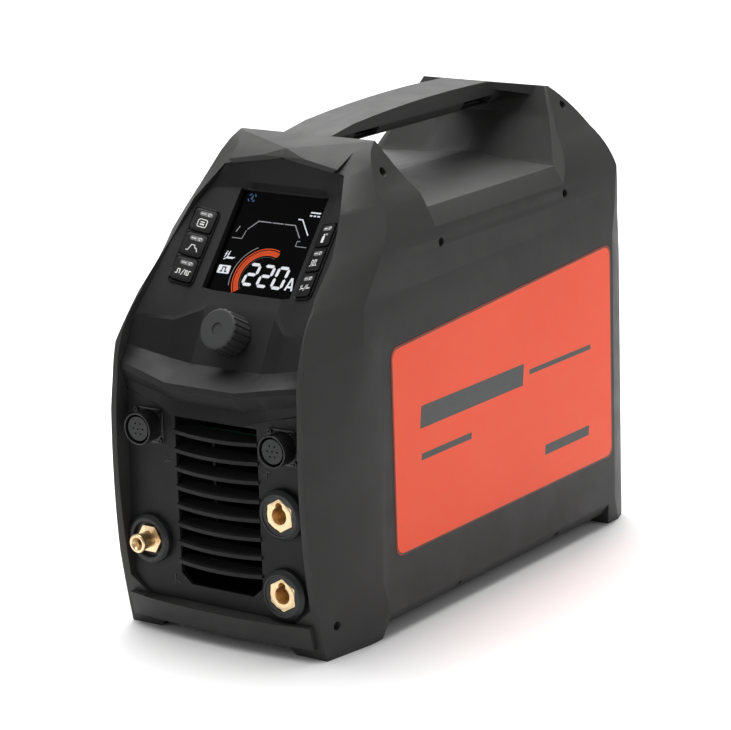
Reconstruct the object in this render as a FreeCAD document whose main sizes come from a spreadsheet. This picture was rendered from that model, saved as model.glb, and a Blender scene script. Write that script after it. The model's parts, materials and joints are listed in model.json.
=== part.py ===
import FreeCAD, Part
import math
import os
import Sketcher
from FreeCAD import Placement, Rotation, Vector

# Portable TIG welding inverter.
# Frame: X to the right-hand side, front faces -Y, +Z up, origin under the middle of the box on the floor.
# Lengths are millimetres.

SIZES = {
    "body_length": 448.0,        # front of the chin to the rear of the cabinet
    "body_width": 210.0,
    "body_height": 371.0,
    "label_half_width": 103.0,   # the label face sits slightly below the pillars
    "wall": 3.0,
    "rim_depth": 18.0,           # solid ring around the front opening
    "panel_gap": 0.4,
    "floor_clearance": 8.5,      # belly above the floor between the feet
    "handle_half_width": 22.0,
    "handle_underside": 351.0,
    "recess_floor": 313.5,
    "screw_shank_radius": 1.95,
    "screw_hole_radius": 2.0,
    "screw_head_radius": 3.1,
    "screw_well_radius": 3.4,
    "boss_radius": 5.0,
    "panel_face": 205.0,         # connector plane, distance in front of the centre
    "knob_radius": 15.7,
    "knob_length": 20.0,
    "knob_deck_height": 227.9,
    "knob_deck_front": 178.94,
    "knob_tilt": 27.8,
    "shaft_radius": 3.0,
    "shaft_fit": 0.05,
    "display_width": 81.0,
    "display_length": 84.0,
    "display_thickness": 1.6,
    "key_width": 17.0,
    "key_length": 18.0,
    "key_height": 1.3,
    "weld_flange_radius": 19.2,
    "weld_bore_radius": 6.5,
    "weld_socket_x": 60.0,
    "weld_upper_z": 108.5,
    "weld_lower_z": 48.0,
    "gas_flange_radius": 19.0,
    "gas_x": 64.5,
    "gas_z": 71.0,
    "gas_stem_radius": 4.8,
    "gas_barrel_radius": 6.2,
    "remote_radius": 12.2,
    "remote_x": 62.0,
    "remote_z": 159.0,
    "remote_reach": 15.0,
    "fan_radius": 55.0,
    "fan_z": 128.0,
    "rotor_radius": 52.0,
    "rear_face": 212.0,
    "gland_radius": 11.0,
    "gland_bore_radius": 6.0,
    "inlet_radius": 5.0,
}

doc = FreeCAD.newDocument("tig_welding_machine")
sheet = doc.addObject("Spreadsheet::Sheet", "dims")
for row, (alias, value) in enumerate(SIZES.items(), start=1):
    sheet.set(f"A{row}", alias)
    sheet.set(f"B{row}", str(value))
    sheet.setAlias(f"B{row}", alias)
doc.recompute()


def size(alias):
    return float(sheet.get(alias))


parts = []


def publish(label, obj):
    """Names a finished sub-part; its label is the node's name."""
    obj.Label = label
    parts.append(obj)
    return obj


# ---------------------------------------------------------------- parametric helpers

def bind(obj, **expressions):
    """Binds properties to expressions of the sheet's cells."""
    for prop, expression in expressions.items():
        obj.setExpression(prop, str(expression))
    return obj


def locate(obj, at, axis=(0, 0, 1), spin=0.0):
    turn = Rotation(Vector(0, 0, 1), Vector(*axis))
    obj.Placement = Placement(Vector(), turn.multiply(Rotation(Vector(0, 0, 1), spin)))
    for name, expression in zip("xyz", at):
        obj.setExpression("Placement.Base." + name, str(expression))
    return obj


def cylinder(name, radius, height, at, axis=(0, 0, 1)):
    obj = doc.addObject("Part::Cylinder", name)
    bind(obj, Radius=radius, Height=height)
    return locate(obj, at, axis)


def cone(name, radius_near, radius_far, height, at, axis=(0, 0, 1)):
    obj = doc.addObject("Part::Cone", name)
    bind(obj, Radius1=radius_near, Radius2=radius_far, Height=height)
    return locate(obj, at, axis)


def box(name, length, width, height, at, axis=(0, 0, 1), spin=0.0):
    obj = doc.addObject("Part::Box", name)
    bind(obj, Length=length, Width=width, Height=height)
    return locate(obj, at, axis, spin)


def hexagon(name, circumradius, height, at, axis=(0, 0, 1), spin=0.0):
    obj = doc.addObject("Part::Prism", name)
    obj.Polygon = 6
    bind(obj, Circumradius=circumradius, Height=height)
    return locate(obj, at, axis, spin)


def fuse(name, shapes):
    obj = doc.addObject("Part::MultiFuse", name)
    obj.Shapes = shapes
    return obj


def cut(name, base, tool):
    obj = doc.addObject("Part::Cut", name)
    obj.Base = base
    obj.Tool = tool
    return obj


def rounded(name, block, radius):
    """Box with its four upright edges rounded."""
    doc.recompute()
    upright = block.Placement.Rotation.multVec(Vector(0, 0, 1))
    obj = doc.addObject("Part::Fillet", name)
    obj.Base = block
    obj.Edges = [(i + 1, radius, radius) for i, edge in enumerate(block.Shape.Edges)
                 if abs(edge.tangentAt(edge.FirstParameter).dot(upright)) > 0.99]
    return obj


def group(name, shapes):
    obj = doc.addObject("Part::Compound", name)
    obj.Links = shapes
    return obj


def feature(name, shape):
    obj = doc.addObject("Part::Feature", name)
    obj.Shape = shape
    obj.Placement = shape.Placement
    return obj


# ---------------------------------------------------------------- shape helpers

def wire(points):
    closed = [Vector(*p) for p in points]
    return Part.makePolygon(closed + closed[:1])


def prism_yz(points, x_low, x_high):
    face = Part.Face(wire([(x_low, y, z) for y, z in points]))
    return face.extrude(Vector(x_high - x_low, 0, 0))


def prism_xz(points, y_low, y_high):
    face = Part.Face(wire([(x, y_low, z) for x, z in points]))
    return face.extrude(Vector(0, y_high - y_low, 0))


def prism_xy(points, z_low, z_high):
    face = Part.Face(wire([(x, y, z_low) for x, y in points]))
    return face.extrude(Vector(0, 0, z_high - z_low))


def loft_yz(stations):
    """Straight-ruled solid through YZ outlines, each given with its x."""
    wires = [wire([(x, y, z) for y, z in points]) for x, points in stations]
    return Part.makeLoft(wires, True, True)


def both_sides(points):
    """Mirrors a right-hand XZ outline that starts and ends on x = 0."""
    return points + [(-x, z) for x, z in reversed(points) if x > 0]


def round_bar(radius, start, end):
    a, b = Vector(*start), Vector(*end)
    return Part.makeCylinder(radius, (b - a).Length, a, b - a)


def inset_polygon(points, distance):
    """Moves every edge of an anticlockwise outline inwards and rejoins the corners."""
    moved = []
    count = len(points)
    for i in range(count):
        (ax, ay), (bx, by), (cx, cy) = points[i - 1], points[i], points[(i + 1) % count]
        first = Vector(bx - ax, by - ay, 0).normalize()
        second = Vector(cx - bx, cy - by, 0).normalize()
        normal = Vector(-first.y, first.x, 0) + Vector(-second.y, second.x, 0)
        reach = 2 * distance / normal.Length
        normal.normalize()
        moved.append((bx + normal.x * reach, by + normal.y * reach))
    return moved


# ---------------------------------------------------------------- cabinet outlines

half_length = size("body_length") / 2
half_width = size("body_width") / 2
height = size("body_height")
wall = size("wall")

# Side view (y, z), anticlockwise seen with +y to the right.
SIDE_FOOT_FRONT = (-201, 0)
SIDE_FRONT_MIDDLE = (-217.6, 112)
SIDE_FRONT_TOP = (-215, 195)
SIDE_KNEE = (-207, 230)
SIDE_SLOPE_FOOT = (-188, 256)
SIDE_SLOPE_MIDDLE = (-149, 303.5)
SIDE_SLOPE_HEAD = (-113, 341)
SIDE_LIP = (-111.6, 349.3)
SIDE_HOOD_FRONT = (-107, 355.3)
SIDE_HOOD_RIDGE = (-79.2, 361.5)
SIDE_GRIP_START = (-52, 366)
SIDE_GRIP_MIDDLE = (40, 371)
SIDE_GRIP_END = (131, 370.5)
SIDE_BACK_EDGE = (162, 365)
SIDE_BACK_SHOULDER = (192, 334)
SIDE_BACK_TOP = (208, 262)
SIDE_BACK_MIDDLE = (219, 158)
SIDE_BACK_LOW = (half_length, 55)
SIDE_BACK_FOOT = (212, 0)


def arc(a, b, c):
    ends = [Vector(0, y, z) for y, z in (a, b, c)]
    return Part.Arc(*ends).toShape()


def side_outline():
    """Outer side outline with its round stretches as arcs."""
    def line(a, b):
        return Part.LineSegment(Vector(0, *a), Vector(0, *b)).toShape()

    edges = [
        arc(SIDE_FOOT_FRONT, SIDE_FRONT_MIDDLE, SIDE_FRONT_TOP),
        arc(SIDE_FRONT_TOP, SIDE_KNEE, SIDE_SLOPE_FOOT),
        arc(SIDE_SLOPE_FOOT, SIDE_SLOPE_MIDDLE, SIDE_SLOPE_HEAD),
        line(SIDE_SLOPE_HEAD, SIDE_LIP),
        line(SIDE_LIP, SIDE_HOOD_FRONT),
        line(SIDE_HOOD_FRONT, SIDE_HOOD_RIDGE),
        line(SIDE_HOOD_RIDGE, SIDE_GRIP_START),
        arc(SIDE_GRIP_START, SIDE_GRIP_MIDDLE, SIDE_GRIP_END),
        line(SIDE_GRIP_END, SIDE_BACK_EDGE),
        arc(SIDE_BACK_EDGE, SIDE_BACK_SHOULDER, SIDE_BACK_TOP),
        arc(SIDE_BACK_TOP, SIDE_BACK_MIDDLE, SIDE_BACK_LOW),
        line(SIDE_BACK_LOW, SIDE_BACK_FOOT),
        line(SIDE_BACK_FOOT, SIDE_FOOT_FRONT),
    ]
    return Part.Wire(edges)


def side_solid(inset):
    if inset == 0:
        face = Part.Face(side_outline())
        face.translate(Vector(-half_width - 5, 0, 0))
        return face.extrude(Vector(2 * half_width + 10, 0, 0))
    corners = [
        SIDE_BACK_FOOT, SIDE_BACK_LOW, SIDE_BACK_MIDDLE, SIDE_BACK_TOP, SIDE_BACK_SHOULDER,
        SIDE_BACK_EDGE, SIDE_GRIP_END, SIDE_GRIP_START, SIDE_HOOD_RIDGE, SIDE_HOOD_FRONT,
        SIDE_SLOPE_HEAD, SIDE_SLOPE_MIDDLE, SIDE_SLOPE_FOOT, SIDE_KNEE, SIDE_FRONT_TOP,
        SIDE_FRONT_MIDDLE, SIDE_FOOT_FRONT,
    ]
    return prism_yz(inset_polygon(corners, inset), -half_width - 5, half_width + 5)


def front_outline(y, inset, lift):
    """Closed XZ outline of the cabinet's width at one station; lift raises the label's upper ledge."""
    right = [
        (103 - inset, 22),
        (half_width - inset, 40),
        (half_width - inset, 218 + lift),
        (99 - inset, 252 + lift),
    ]
    low = (98 - inset, inset)
    shoulder = [(97.8 - inset, 280), (92.5 - inset, 305), (78 - inset, 330)]
    crown = (59 - inset, 366)
    top = (50 - inset, height + 12 - inset)

    def point(p):
        return Vector(p[0], y, p[1])

    def mirrored(p):
        return (-p[0], p[1])

    def segment(a, b):
        return Part.LineSegment(point(a), point(b)).toShape()

    def bend(a, b, c):
        return Part.Arc(point(a), point(b), point(c)).toShape()

    path = [low] + right + [shoulder[0]]
    edges = [segment(a, b) for a, b in zip(path, path[1:])]
    edges.append(bend(*shoulder))
    edges.append(segment(shoulder[2], crown))
    edges.append(segment(crown, top))
    edges.append(segment(top, mirrored(top)))
    edges.append(segment(mirrored(top), mirrored(crown)))
    edges.append(segment(mirrored(crown), mirrored(shoulder[2])))
    edges.append(bend(*[mirrored(p) for p in reversed(shoulder)]))
    back = [mirrored(p) for p in reversed(path)]
    edges += [segment(a, b) for a, b in zip(back, back[1:])]
    edges.append(segment(back[-1], low))
    return Part.Wire(edges)


def width_solid(inset):
    front = front_outline(-half_length - 10, inset, 0)
    rear = front_outline(half_length + 10, inset, 16)
    return Part.makeLoft([front, rear], True, True)


def plan_solid(inset):
    """Plan outline: pillars, the shallow label field and the rear corner facets."""
    right = [
        (101 - inset, -half_length - 10),
        (101 - inset, -180),
        (half_width - inset, -147),
        (size("label_half_width") - inset, -135),
        (size("label_half_width") - inset, 186),
        (93 - inset, 213 - inset),
        (60 - inset, half_length - 2 - inset),
    ]
    left = [(-x, y) for x, y in reversed(right)]
    return prism_xy(right + left, -1, height + 20)


# Lines of the front corner facet on the right-hand side: along the rim, and along the side.
RIM_LINE = [
    (92, -196, -12), (90, -216, 59), (88.5, -217, 171), (86.5, -210, 221),
    (81.5, -185, 256), (76.5, -152, 289), (70, -130, 317), (58, -111, 339), (51, -98, 352),
]
SIDE_LINE = [
    (98, -150, -12), (100, -176, 60), (100, -181, 171), (99.7, -170, 229),
    (98.5, -151, 258), (95.5, -127, 289), (83, -108, 320), (70, -96, 347), (60, -84, 364),
]


def corner_facet(side, depth):
    """Solid outside the facet between the rim and the cabinet's side; depth moves it inwards."""
    outlines = []
    for rim, flank in zip(RIM_LINE, SIDE_LINE):
        a, b = Vector(*rim), Vector(*flank)
        run = b - a
        a, b = a - run, b + run * 0.6
        far = (a + b) * 0.5 + Vector(60, -60, 0)
        shift = Vector(-depth, depth * 0.4, 0)
        corners = [p + shift for p in (a, b, far)]
        outlines.append(Part.makePolygon([Vector(side * p.x, p.y, p.z) for p in corners + corners[:1]]))
    return Part.makeLoft(outlines, True, True)


def hood_facet(side, depth):
    """Half space above the facet that lowers the hood towards its front corner."""
    normal = Vector(side * 0.1335, -0.519, 0.844).normalize()
    base = Vector(0, -107, 355.3) - normal * depth
    plane = Part.Plane(base, normal)
    face = plane.toShape(-90, 90, -90, 90)
    return face.extrude(normal * 60)


def recess(grow):
    """Hollow around the carrying handle, both sides and the finger gap under the bar."""
    floor = size("recess_floor") - grow

    def outline(x, front, rear, level):
        """Section of the hollow; rear gives x and y of the rear wall at its foot, waist and top."""
        foot, waist, top = rear
        return wire([
            (x, front - grow, level),
            (foot[0], foot[1] + grow, level),
            (waist[0], waist[1] + grow, 343),
            (top[0], top[1] + grow, 385),
            (x, front - 42 - grow, 385),
            (x, front - 21 - grow, 343),
        ])

    rim = 84.5 - grow
    sections = [
        outline(0, -50, [(0, 133), (0, 154), (0, 167)], floor),
        outline(38, -50, [(38, 131), (38, 153), (38, 166)], floor - 4),
        outline(rim, -50, [(rim, 129), (68 - grow, 149), (48 - grow, 168)], floor - 5.5),
        outline(115, -62, [(115, 118), (115, 190), (115, 214)], floor - 41),
    ]
    hollow = Part.makeLoft(sections, True, True)
    hollow = hollow.fuse(hollow.mirror(Vector(), Vector(1, 0, 0)))
    grip = size("handle_half_width") - grow
    under = size("handle_underside") + grow
    bar = [(grip, 390), (grip, under + 8), (grip - 4, under + 2), (grip - 8, under), (0, under)]
    return hollow.cut(prism_xz(both_sides([(0, 390)] + bar), -110, 200))


def handle_root():
    """Flare that widens the rear end of the grip to the width of the rim."""
    plan = both_sides([(0, 139), (21, 139), (55, 163), (62, 178), (0, 178)])
    thick = both_sides([(0, 392), (66, 392), (66, 354), (21, 363.5), (0, 363.5)])
    return prism_xy(plan, 340, 395).common(prism_xz(thick, 120, 190))


def outer_body():
    body = side_solid(0).common(width_solid(0)).common(plan_solid(0))
    for side in (1, -1):
        body = body.cut(corner_facet(side, 0))
        tool = hood_facet(side, 0).common(Part.makeBox(90, 60, 90, Vector(0 if side > 0 else -90, -140, 300)))
        body = body.cut(tool)
    # Chin: the bottom of the front rim bows forward.
    low = [Vector(-84, -207, 9), Vector(0, -213, 9), Vector(84, -207, 9)]
    high = [Vector(-84, -212, 27), Vector(0, -219, 27), Vector(84, -212, 27)]
    sections = []
    for row in (low, high):
        bow = Part.Arc(*row).toShape()
        back = Part.makePolygon([row[2], row[2] + Vector(0, 20, 0), row[0] + Vector(0, 20, 0), row[0]])
        sections.append(Part.Wire([bow] + back.Edges))
    body = body.fuse(Part.makeLoft(sections, True, True))
    # Belly between the feet, with the slanted strip along both lower edges.
    clearance = size("floor_clearance")
    across = both_sides([(0, clearance), (94, clearance), (104, 21.5), (120, 21.5), (120, -5), (0, -5)])
    along = [(-142, -5), (-134, 21.5), (176, 21.5), (185, -5)]
    body = body.cut(prism_xz(across, -150, 200).common(prism_yz(along, -120, 120)))
    gap = both_sides([(0, clearance), (56, clearance), (65, -1), (0, -1)])
    return body.cut(prism_xz(gap, -240, 240))


def inner_body():
    inset = wall
    hollow = side_solid(inset).common(width_solid(inset)).common(plan_solid(inset))
    for side in (1, -1):
        hollow = hollow.cut(corner_facet(side, inset + 0.5))
        hollow = hollow.cut(hood_facet(side, inset))
    floor = Part.makeBox(300, 600, 40, Vector(-150, -300, size("floor_clearance") + wall - 40))
    belly = prism_xz(both_sides([(0, -5), (0, 12), (92, 12), (101, 24), (120, 24), (120, -5)]), -300, 300)
    hollow = hollow.cut(floor).cut(belly)
    # The ring around the front opening stays solid.
    ring = side_solid(0)
    ring.translate(Vector(0, size("rim_depth"), 0))
    return hollow.common(ring)


def opening_outline(gap):
    """Front opening, right half first, seen along +Y."""
    right = [
        (0, 26.5 + gap), (68, 26.5 + gap), (84 - gap, 40), (83.5 - gap, 170), (81.5 - gap, 228),
        (78 - gap, 256), (74.5 - gap, 288), (67.5 - gap, 316), (55 - gap, 340 - gap), (0, 348.5 - gap),
    ]
    return both_sides(right)


# ---------------------------------------------------------------- shells

# Five screws join the shells, at y, z and with the outer skin at that x: hood, tail, front, rear, foot.
SHELL_SCREWS = [(-87, 340, 73), (170, 349, 69), (-50, 283, 97.7), (125, 288, 97), (-191, 25, 98)]
SCREW_HEAD_X = 24.0
SCREW_TIP_X = -18.0
REAR_OPENING = both_sides([(0, 34), (70, 34), (80, 44), (80, 232), (70, 246), (0, 246)])


def shells():
    outer = outer_body()
    solid = outer.cut(recess(0).cut(handle_root()))
    hollow = inner_body().cut(recess(wall))
    shell = solid.cut(hollow)
    shell = shell.cut(prism_xz(opening_outline(0), -240, -92))
    shell = shell.cut(prism_xz(REAR_OPENING, 200, 240))
    # Pockets at both ends of the grip's underside.
    grip = size("handle_half_width")
    under = size("handle_underside")
    for y_low, y_high in ((-49, -18), (98, 138)):
        for side in (1, -1):
            low = Vector(min(side * (grip - 12), side * (grip + 1)), y_low, under + 1.5)
            shell = shell.cut(Part.makeBox(13, y_high - y_low, 6.5, low))
    # Screw bosses, wells and holes.
    boss = size("boss_radius")
    bosses = None
    holes = None
    for y, z, skin in SHELL_SCREWS:
        bar = round_bar(boss, (-skin + 1, y, z), (skin - 1, y, z))
        well = round_bar(size("screw_well_radius"), (SCREW_HEAD_X - 3, y, z), (skin + 20, y, z))
        hole = round_bar(size("screw_hole_radius") + 0.2, (0, y, z), (SCREW_HEAD_X, y, z))
        thread = round_bar(size("screw_hole_radius"), (SCREW_TIP_X - 4, y, z), (0, y, z))
        bosses = bar if bosses is None else bosses.fuse(bar)
        drill = well.fuse(hole).fuse(thread)
        holes = drill if holes is None else holes.fuse(drill)
    shell = shell.fuse(bosses.common(outer)).cut(holes)
    # Small drain notches in the slanted lower strips.
    for y in (-44, 96):
        shell = shell.cut(Part.makeBox(220, 9, 4, Vector(-110, y, 11.5)).cut(
            Part.makeBox(192, 20, 10, Vector(-96, y - 5, 8))))
    right = shell.common(Part.makeBox(200, 600, 500, Vector(0, -300, -10)))
    left = shell.common(Part.makeBox(200, 600, 500, Vector(-200, -300, -10)))
    return right.removeSplitter(), left.removeSplitter()


right_shape, left_shape = shells()
publish("right_shell", feature("right_shell", right_shape))
publish("left_shell", feature("left_shell", left_shape))


def shell_screw(index, y, z):
    head_length = 2.6
    shank = cylinder(f"screw_shank_{index}", "dims.screw_shank_radius", SCREW_HEAD_X - SCREW_TIP_X,
                     (SCREW_TIP_X, y, z), (1, 0, 0))
    head = cylinder(f"screw_head_{index}", "dims.screw_head_radius", head_length,
                    (SCREW_HEAD_X, y, z), (1, 0, 0))
    socket = hexagon(f"screw_socket_{index}", 1.5, head_length, (SCREW_HEAD_X + 1, y, z), (1, 0, 0))
    return cut(f"screw_{index}", fuse(f"screw_blank_{index}", [head, shank]), socket)


publish("shell_screws", group("screws", [
    shell_screw(index, y, z) for index, (y, z, _) in enumerate(SHELL_SCREWS)]))


# ---------------------------------------------------------------- control panel geometry

TILT = math.radians(size("knob_tilt"))
KNOB_AXIS = Vector(0, -math.cos(TILT), math.sin(TILT))
KNOB_BASE = Vector(0, -size("knob_deck_front"), size("knob_deck_height"))

DISPLAY_CENTRE = Vector(0, -133.2, 287)
DISPLAY_UP = Vector(0, 0.625, 0.7805).normalize()
DISPLAY_OUT = Vector(0, -0.7805, 0.625).normalize()

WING_INNER_X = 41.0
WING_FOOT = Vector(WING_INNER_X, -165, 255)
WING_RISE = 0.8077          # how far the wings lean back per unit of height
WING_FLARE = 0.48           # how far they come forward per unit of width
WING_UP = Vector(0, WING_RISE, 1).normalize()
WING_OUT = Vector(-WING_FLARE, -1, WING_RISE).normalize()
WING_ACROSS = WING_UP.cross(WING_OUT)


def wing_y(x, z):
    return WING_FOOT.y + WING_RISE * (z - WING_FOOT.z) - WING_FLARE * (abs(x) - WING_INNER_X)


def side_vector(side, vector):
    return Vector(side * vector.x, vector.y, vector.z)


def oriented(origin, x_axis, z_axis):
    """Placement whose local X and Z point along the given directions."""
    y_axis = z_axis.cross(x_axis)
    return Placement(Vector(origin), Rotation(x_axis, y_axis, z_axis, "XZY"))


def slab(name, length, width, thick, centre, x_axis, z_axis):
    """Box centred on its lower face, in a slanted frame."""
    obj = doc.addObject("Part::Box", name)
    bind(obj, Length=length, Width=width, Height=thick)
    doc.recompute()
    corner = Vector(-obj.Length.Value / 2, -obj.Width.Value / 2, 0)
    obj.Placement = oriented(centre, x_axis, z_axis).multiply(Placement(corner, Rotation()))
    return obj


# ---------------------------------------------------------------- front panel

REMOTE_CORNERS = [(11, 11), (-11, 11), (11, -11), (-11, -11)]


def panel_station(x, face, deck, wing_foot, brow):
    """Panel outline at one x: skin from the bottom up, then the back from the top down."""
    top_y = wing_y(x, 322.6)
    skin = face + brow + deck + [(wing_y(x, wing_foot), wing_foot), (top_y, 322.6)]
    cap = min(top_y + 2, -108.5)
    skin += [(cap, 327), (-108.5, 347)]
    back = [(-104.5, 347), (-103, 322), (-165.3, 240), (-183.2, 206), (-201.5, 196), (-201.5, 26.5)]
    return x, skin + back


def front_panel_shape():
    face = -size("panel_face")
    centre = panel_station(
        32, [(face, 26.5), (face, 171)], [(-190.5, 206), (-171, 243)], 248,
        [(-214, 172), (-209, 181.5), (-223, 195), (-222, 199), (-206, 203)])
    middle = panel_station(
        50.5, [(face, 26.5), (face, 177)], [(-195, 210), (-185.5, 236)], 239,
        [(-209, 178), (-208, 186), (-219, 198), (-218, 202), (-205, 207)])
    edge = panel_station(
        86, [(face, 26.5), (face, 185)], [(-203.5, 219), (-198, 238)], 240,
        [(-206, 187), (-206.5, 193), (-211, 203), (-210, 207), (-207, 212)])

    def mirrored(station):
        return -station[0], station[1]

    skin = loft_yz([mirrored(edge), mirrored(middle), mirrored(centre), centre, middle, edge])
    skin = skin.common(prism_xz(opening_outline(size("panel_gap")), -240, -90))
    # Louvre opening with its chamfered lower corners, and blades bowed forward.
    low, high, half = 40, 169, 38
    hole = both_sides([(0, low), (half - 9, low), (half, low + 8), (half, high), (0, high)])
    skin = skin.cut(prism_xz(hole, -240, -150))
    bow_ends = [Vector(-half - 1, -206.5, 0), Vector(0, -210, 0), Vector(half + 1, -206.5, 0)]
    bow = Part.Wire([Part.Arc(*bow_ends).toShape(), Part.makePolygon(
        [bow_ends[2], Vector(half + 1, -180, 0), Vector(-half - 1, -180, 0), bow_ends[0]])])
    bow = Part.Face(bow).extrude(Vector(0, 0, 250))
    pitch = (high - low) / 9
    for row in range(1, 9):
        z = high - pitch * row
        blade = [(-216, z - 1.8), (-216, z + 1), (-198, z + 7), (-198, z + 4.2)]
        skin = skin.fuse(prism_yz(blade, -half - 0.8, half + 0.8).common(bow))
    # Pocket and window opening for the display.
    width, length = size("display_width"), size("display_length")
    thick = size("display_thickness")
    pocket = Part.makeBox(width, length, 40, Vector(-width / 2, -length / 2, -thick))
    pocket = pocket.fuse(Part.makeBox(width - 8, length - 8, 60, Vector(4 - width / 2, 4 - length / 2, -20)))
    pocket.Placement = oriented(DISPLAY_CENTRE, Vector(1, 0, 0), DISPLAY_OUT)
    skin = skin.cut(pocket)
    # Round holes for the fittings, the knob bushing and the keys.
    for x, z, radius in (
            (-size("gas_x"), size("gas_z"), 6.5),
            (size("weld_socket_x"), size("weld_upper_z"), 13.0),
            (size("weld_socket_x"), size("weld_lower_z"), 13.0),
            (-size("remote_x"), size("remote_z"), size("remote_radius")),
            (size("remote_x"), size("remote_z"), size("remote_radius"))):
        skin = skin.cut(round_bar(radius, (x, -235, z), (x, -190, z)))
    for side in (1, -1):
        for dx, dz in REMOTE_CORNERS:
            x, z = side * size("remote_x") + dx, size("remote_z") + dz
            skin = skin.cut(round_bar(1.3, (x, -235, z), (x, -190, z)))
    skin = skin.cut(round_bar(4.6, KNOB_BASE - KNOB_AXIS * 25, KNOB_BASE + KNOB_AXIS * 25))
    for side in (1, -1):
        for u in KEY_ROWS:
            hole = Part.makeBox(8, 8, 40, Vector(-4, -4, -30))
            hole.Placement = key_frame(side, u)
            skin = skin.cut(hole)
        relief = Part.makeBox(21, 66, 40, Vector(-10.5, -33, -43.5))
        relief.Placement = wing_frame(side, PAD_MIDDLE, KEY_CENTRE, 0)
        skin = skin.cut(relief)
    return skin.removeSplitter()


KEY_ROWS = (52.5, 32.0, 11.5)
KEY_CENTRE = 17.0
PAD_THICK = 1.2
PAD_MIDDLE = 32.0


def wing_point(side, up, across, out):
    point = WING_FOOT + WING_UP * up + WING_ACROSS * across + WING_OUT * out
    return side_vector(side, point)


def wing_frame(side, up, across, out):
    x_axis = side_vector(side, WING_ACROSS) * side
    return oriented(wing_point(side, up, across, out), x_axis, side_vector(side, WING_OUT))


def key_frame(side, up):
    return wing_frame(side, up, KEY_CENTRE, 0)


publish("front_panel", feature("front_panel", front_panel_shape()))


# ---------------------------------------------------------------- display

publish("display_window", slab(
    "window", "dims.display_width - 0.8", "dims.display_length - 0.8", "dims.display_thickness",
    DISPLAY_CENTRE - DISPLAY_OUT * size("display_thickness"), Vector(1, 0, 0), DISPLAY_OUT))
publish("display_module", slab(
    "module", "dims.display_width - 9", "dims.display_length - 9", 4,
    DISPLAY_CENTRE - DISPLAY_OUT * 6, Vector(1, 0, 0), DISPLAY_OUT))
publish("control_board", slab(
    "board", 112, 74, 1.6, DISPLAY_CENTRE - DISPLAY_OUT * 21, Vector(1, 0, 0), DISPLAY_OUT))


# ---------------------------------------------------------------- keypads and keys

def keypad(side):
    block = slab(f"pad_block_{side}", 20.5, 63, PAD_THICK, wing_point(side, PAD_MIDDLE, KEY_CENTRE, 0.2),
                 side_vector(side, WING_ACROSS) * side, side_vector(side, WING_OUT))
    pad = rounded(f"pad_{side}", block, 4)
    holes = []
    for index, u in enumerate(KEY_ROWS):
        hole = slab(f"pad_hole_{side}_{index}", "dims.key_width + 0.7", "dims.key_length + 0.7", 10,
                    wing_point(side, u, KEY_CENTRE, -4),
                    side_vector(side, WING_ACROSS) * side, side_vector(side, WING_OUT))
        holes.append(hole)
    return cut(f"keypad_{side}", pad, fuse(f"pad_holes_{side}", holes))


def key(side, index, u):
    """Key cap on the pad with a stem through the panel to its switch."""
    across = side_vector(side, WING_ACROSS) * side
    out = side_vector(side, WING_OUT)
    block = slab(f"key_block_{side}_{index}", "dims.key_width", "dims.key_length", "dims.key_height",
                 wing_point(side, u, KEY_CENTRE, 1.2), across, out)
    cap = rounded(f"key_cap_{side}_{index}", block, 2.5)
    stem = slab(f"key_stem_{side}_{index}", 6, 6, 10, wing_point(side, u, KEY_CENTRE, -8.4), across, out)
    return fuse(f"key_{side}_{index}", [cap, stem])


for side, word in ((-1, "left"), (1, "right")):
    publish(f"keypad_{word}", keypad(side))
    for index, u in enumerate(KEY_ROWS):
        publish(f"key_{word}_{index + 1}", key(side, index, u))


def key_board(side):
    """Narrow board with one click switch behind each key."""
    across = side_vector(side, WING_ACROSS) * side
    out = side_vector(side, WING_OUT)
    board = slab(f"key_board_{side}", 18, 62, 1.2, wing_point(side, PAD_MIDDLE, KEY_CENTRE, -13), across, out)
    switches = [slab(f"click_{side}_{index}", 6, 6, 2.4, wing_point(side, u, KEY_CENTRE, -11.8), across, out)
                for index, u in enumerate(KEY_ROWS)]
    return fuse(f"keys_board_{side}", [board] + switches)


publish("key_boards", group("key_board_pair", [key_board(-1), key_board(1)]))


# ---------------------------------------------------------------- knob and encoder

def axis_frame(distance):
    return oriented(KNOB_BASE + KNOB_AXIS * distance, Vector(1, 0, 0), KNOB_AXIS)


def origin_plane(body, role):
    return next(item for item in body.Origin.OriginFeatures if item.Role == role)


def disc_sketch(body, name, radius, centre=(0, 0), lift=0.0):
    """Circle on the body's XY plane whose radius is bound to an expression."""
    sketch = body.newObject("Sketcher::SketchObject", name)
    sketch.AttachmentSupport = [(origin_plane(body, "XY_Plane"), "")]
    sketch.MapMode = "FlatFace"
    sketch.AttachmentOffset = Placement(Vector(0, 0, lift), Rotation())
    circle = sketch.addGeometry(Part.Circle(Vector(centre[0], centre[1], 0), Vector(0, 0, 1), 5))
    rule = sketch.addConstraint(Sketcher.Constraint("Radius", circle, 5))
    sketch.setExpression(f"Constraints[{rule}]", radius)
    return sketch


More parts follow.
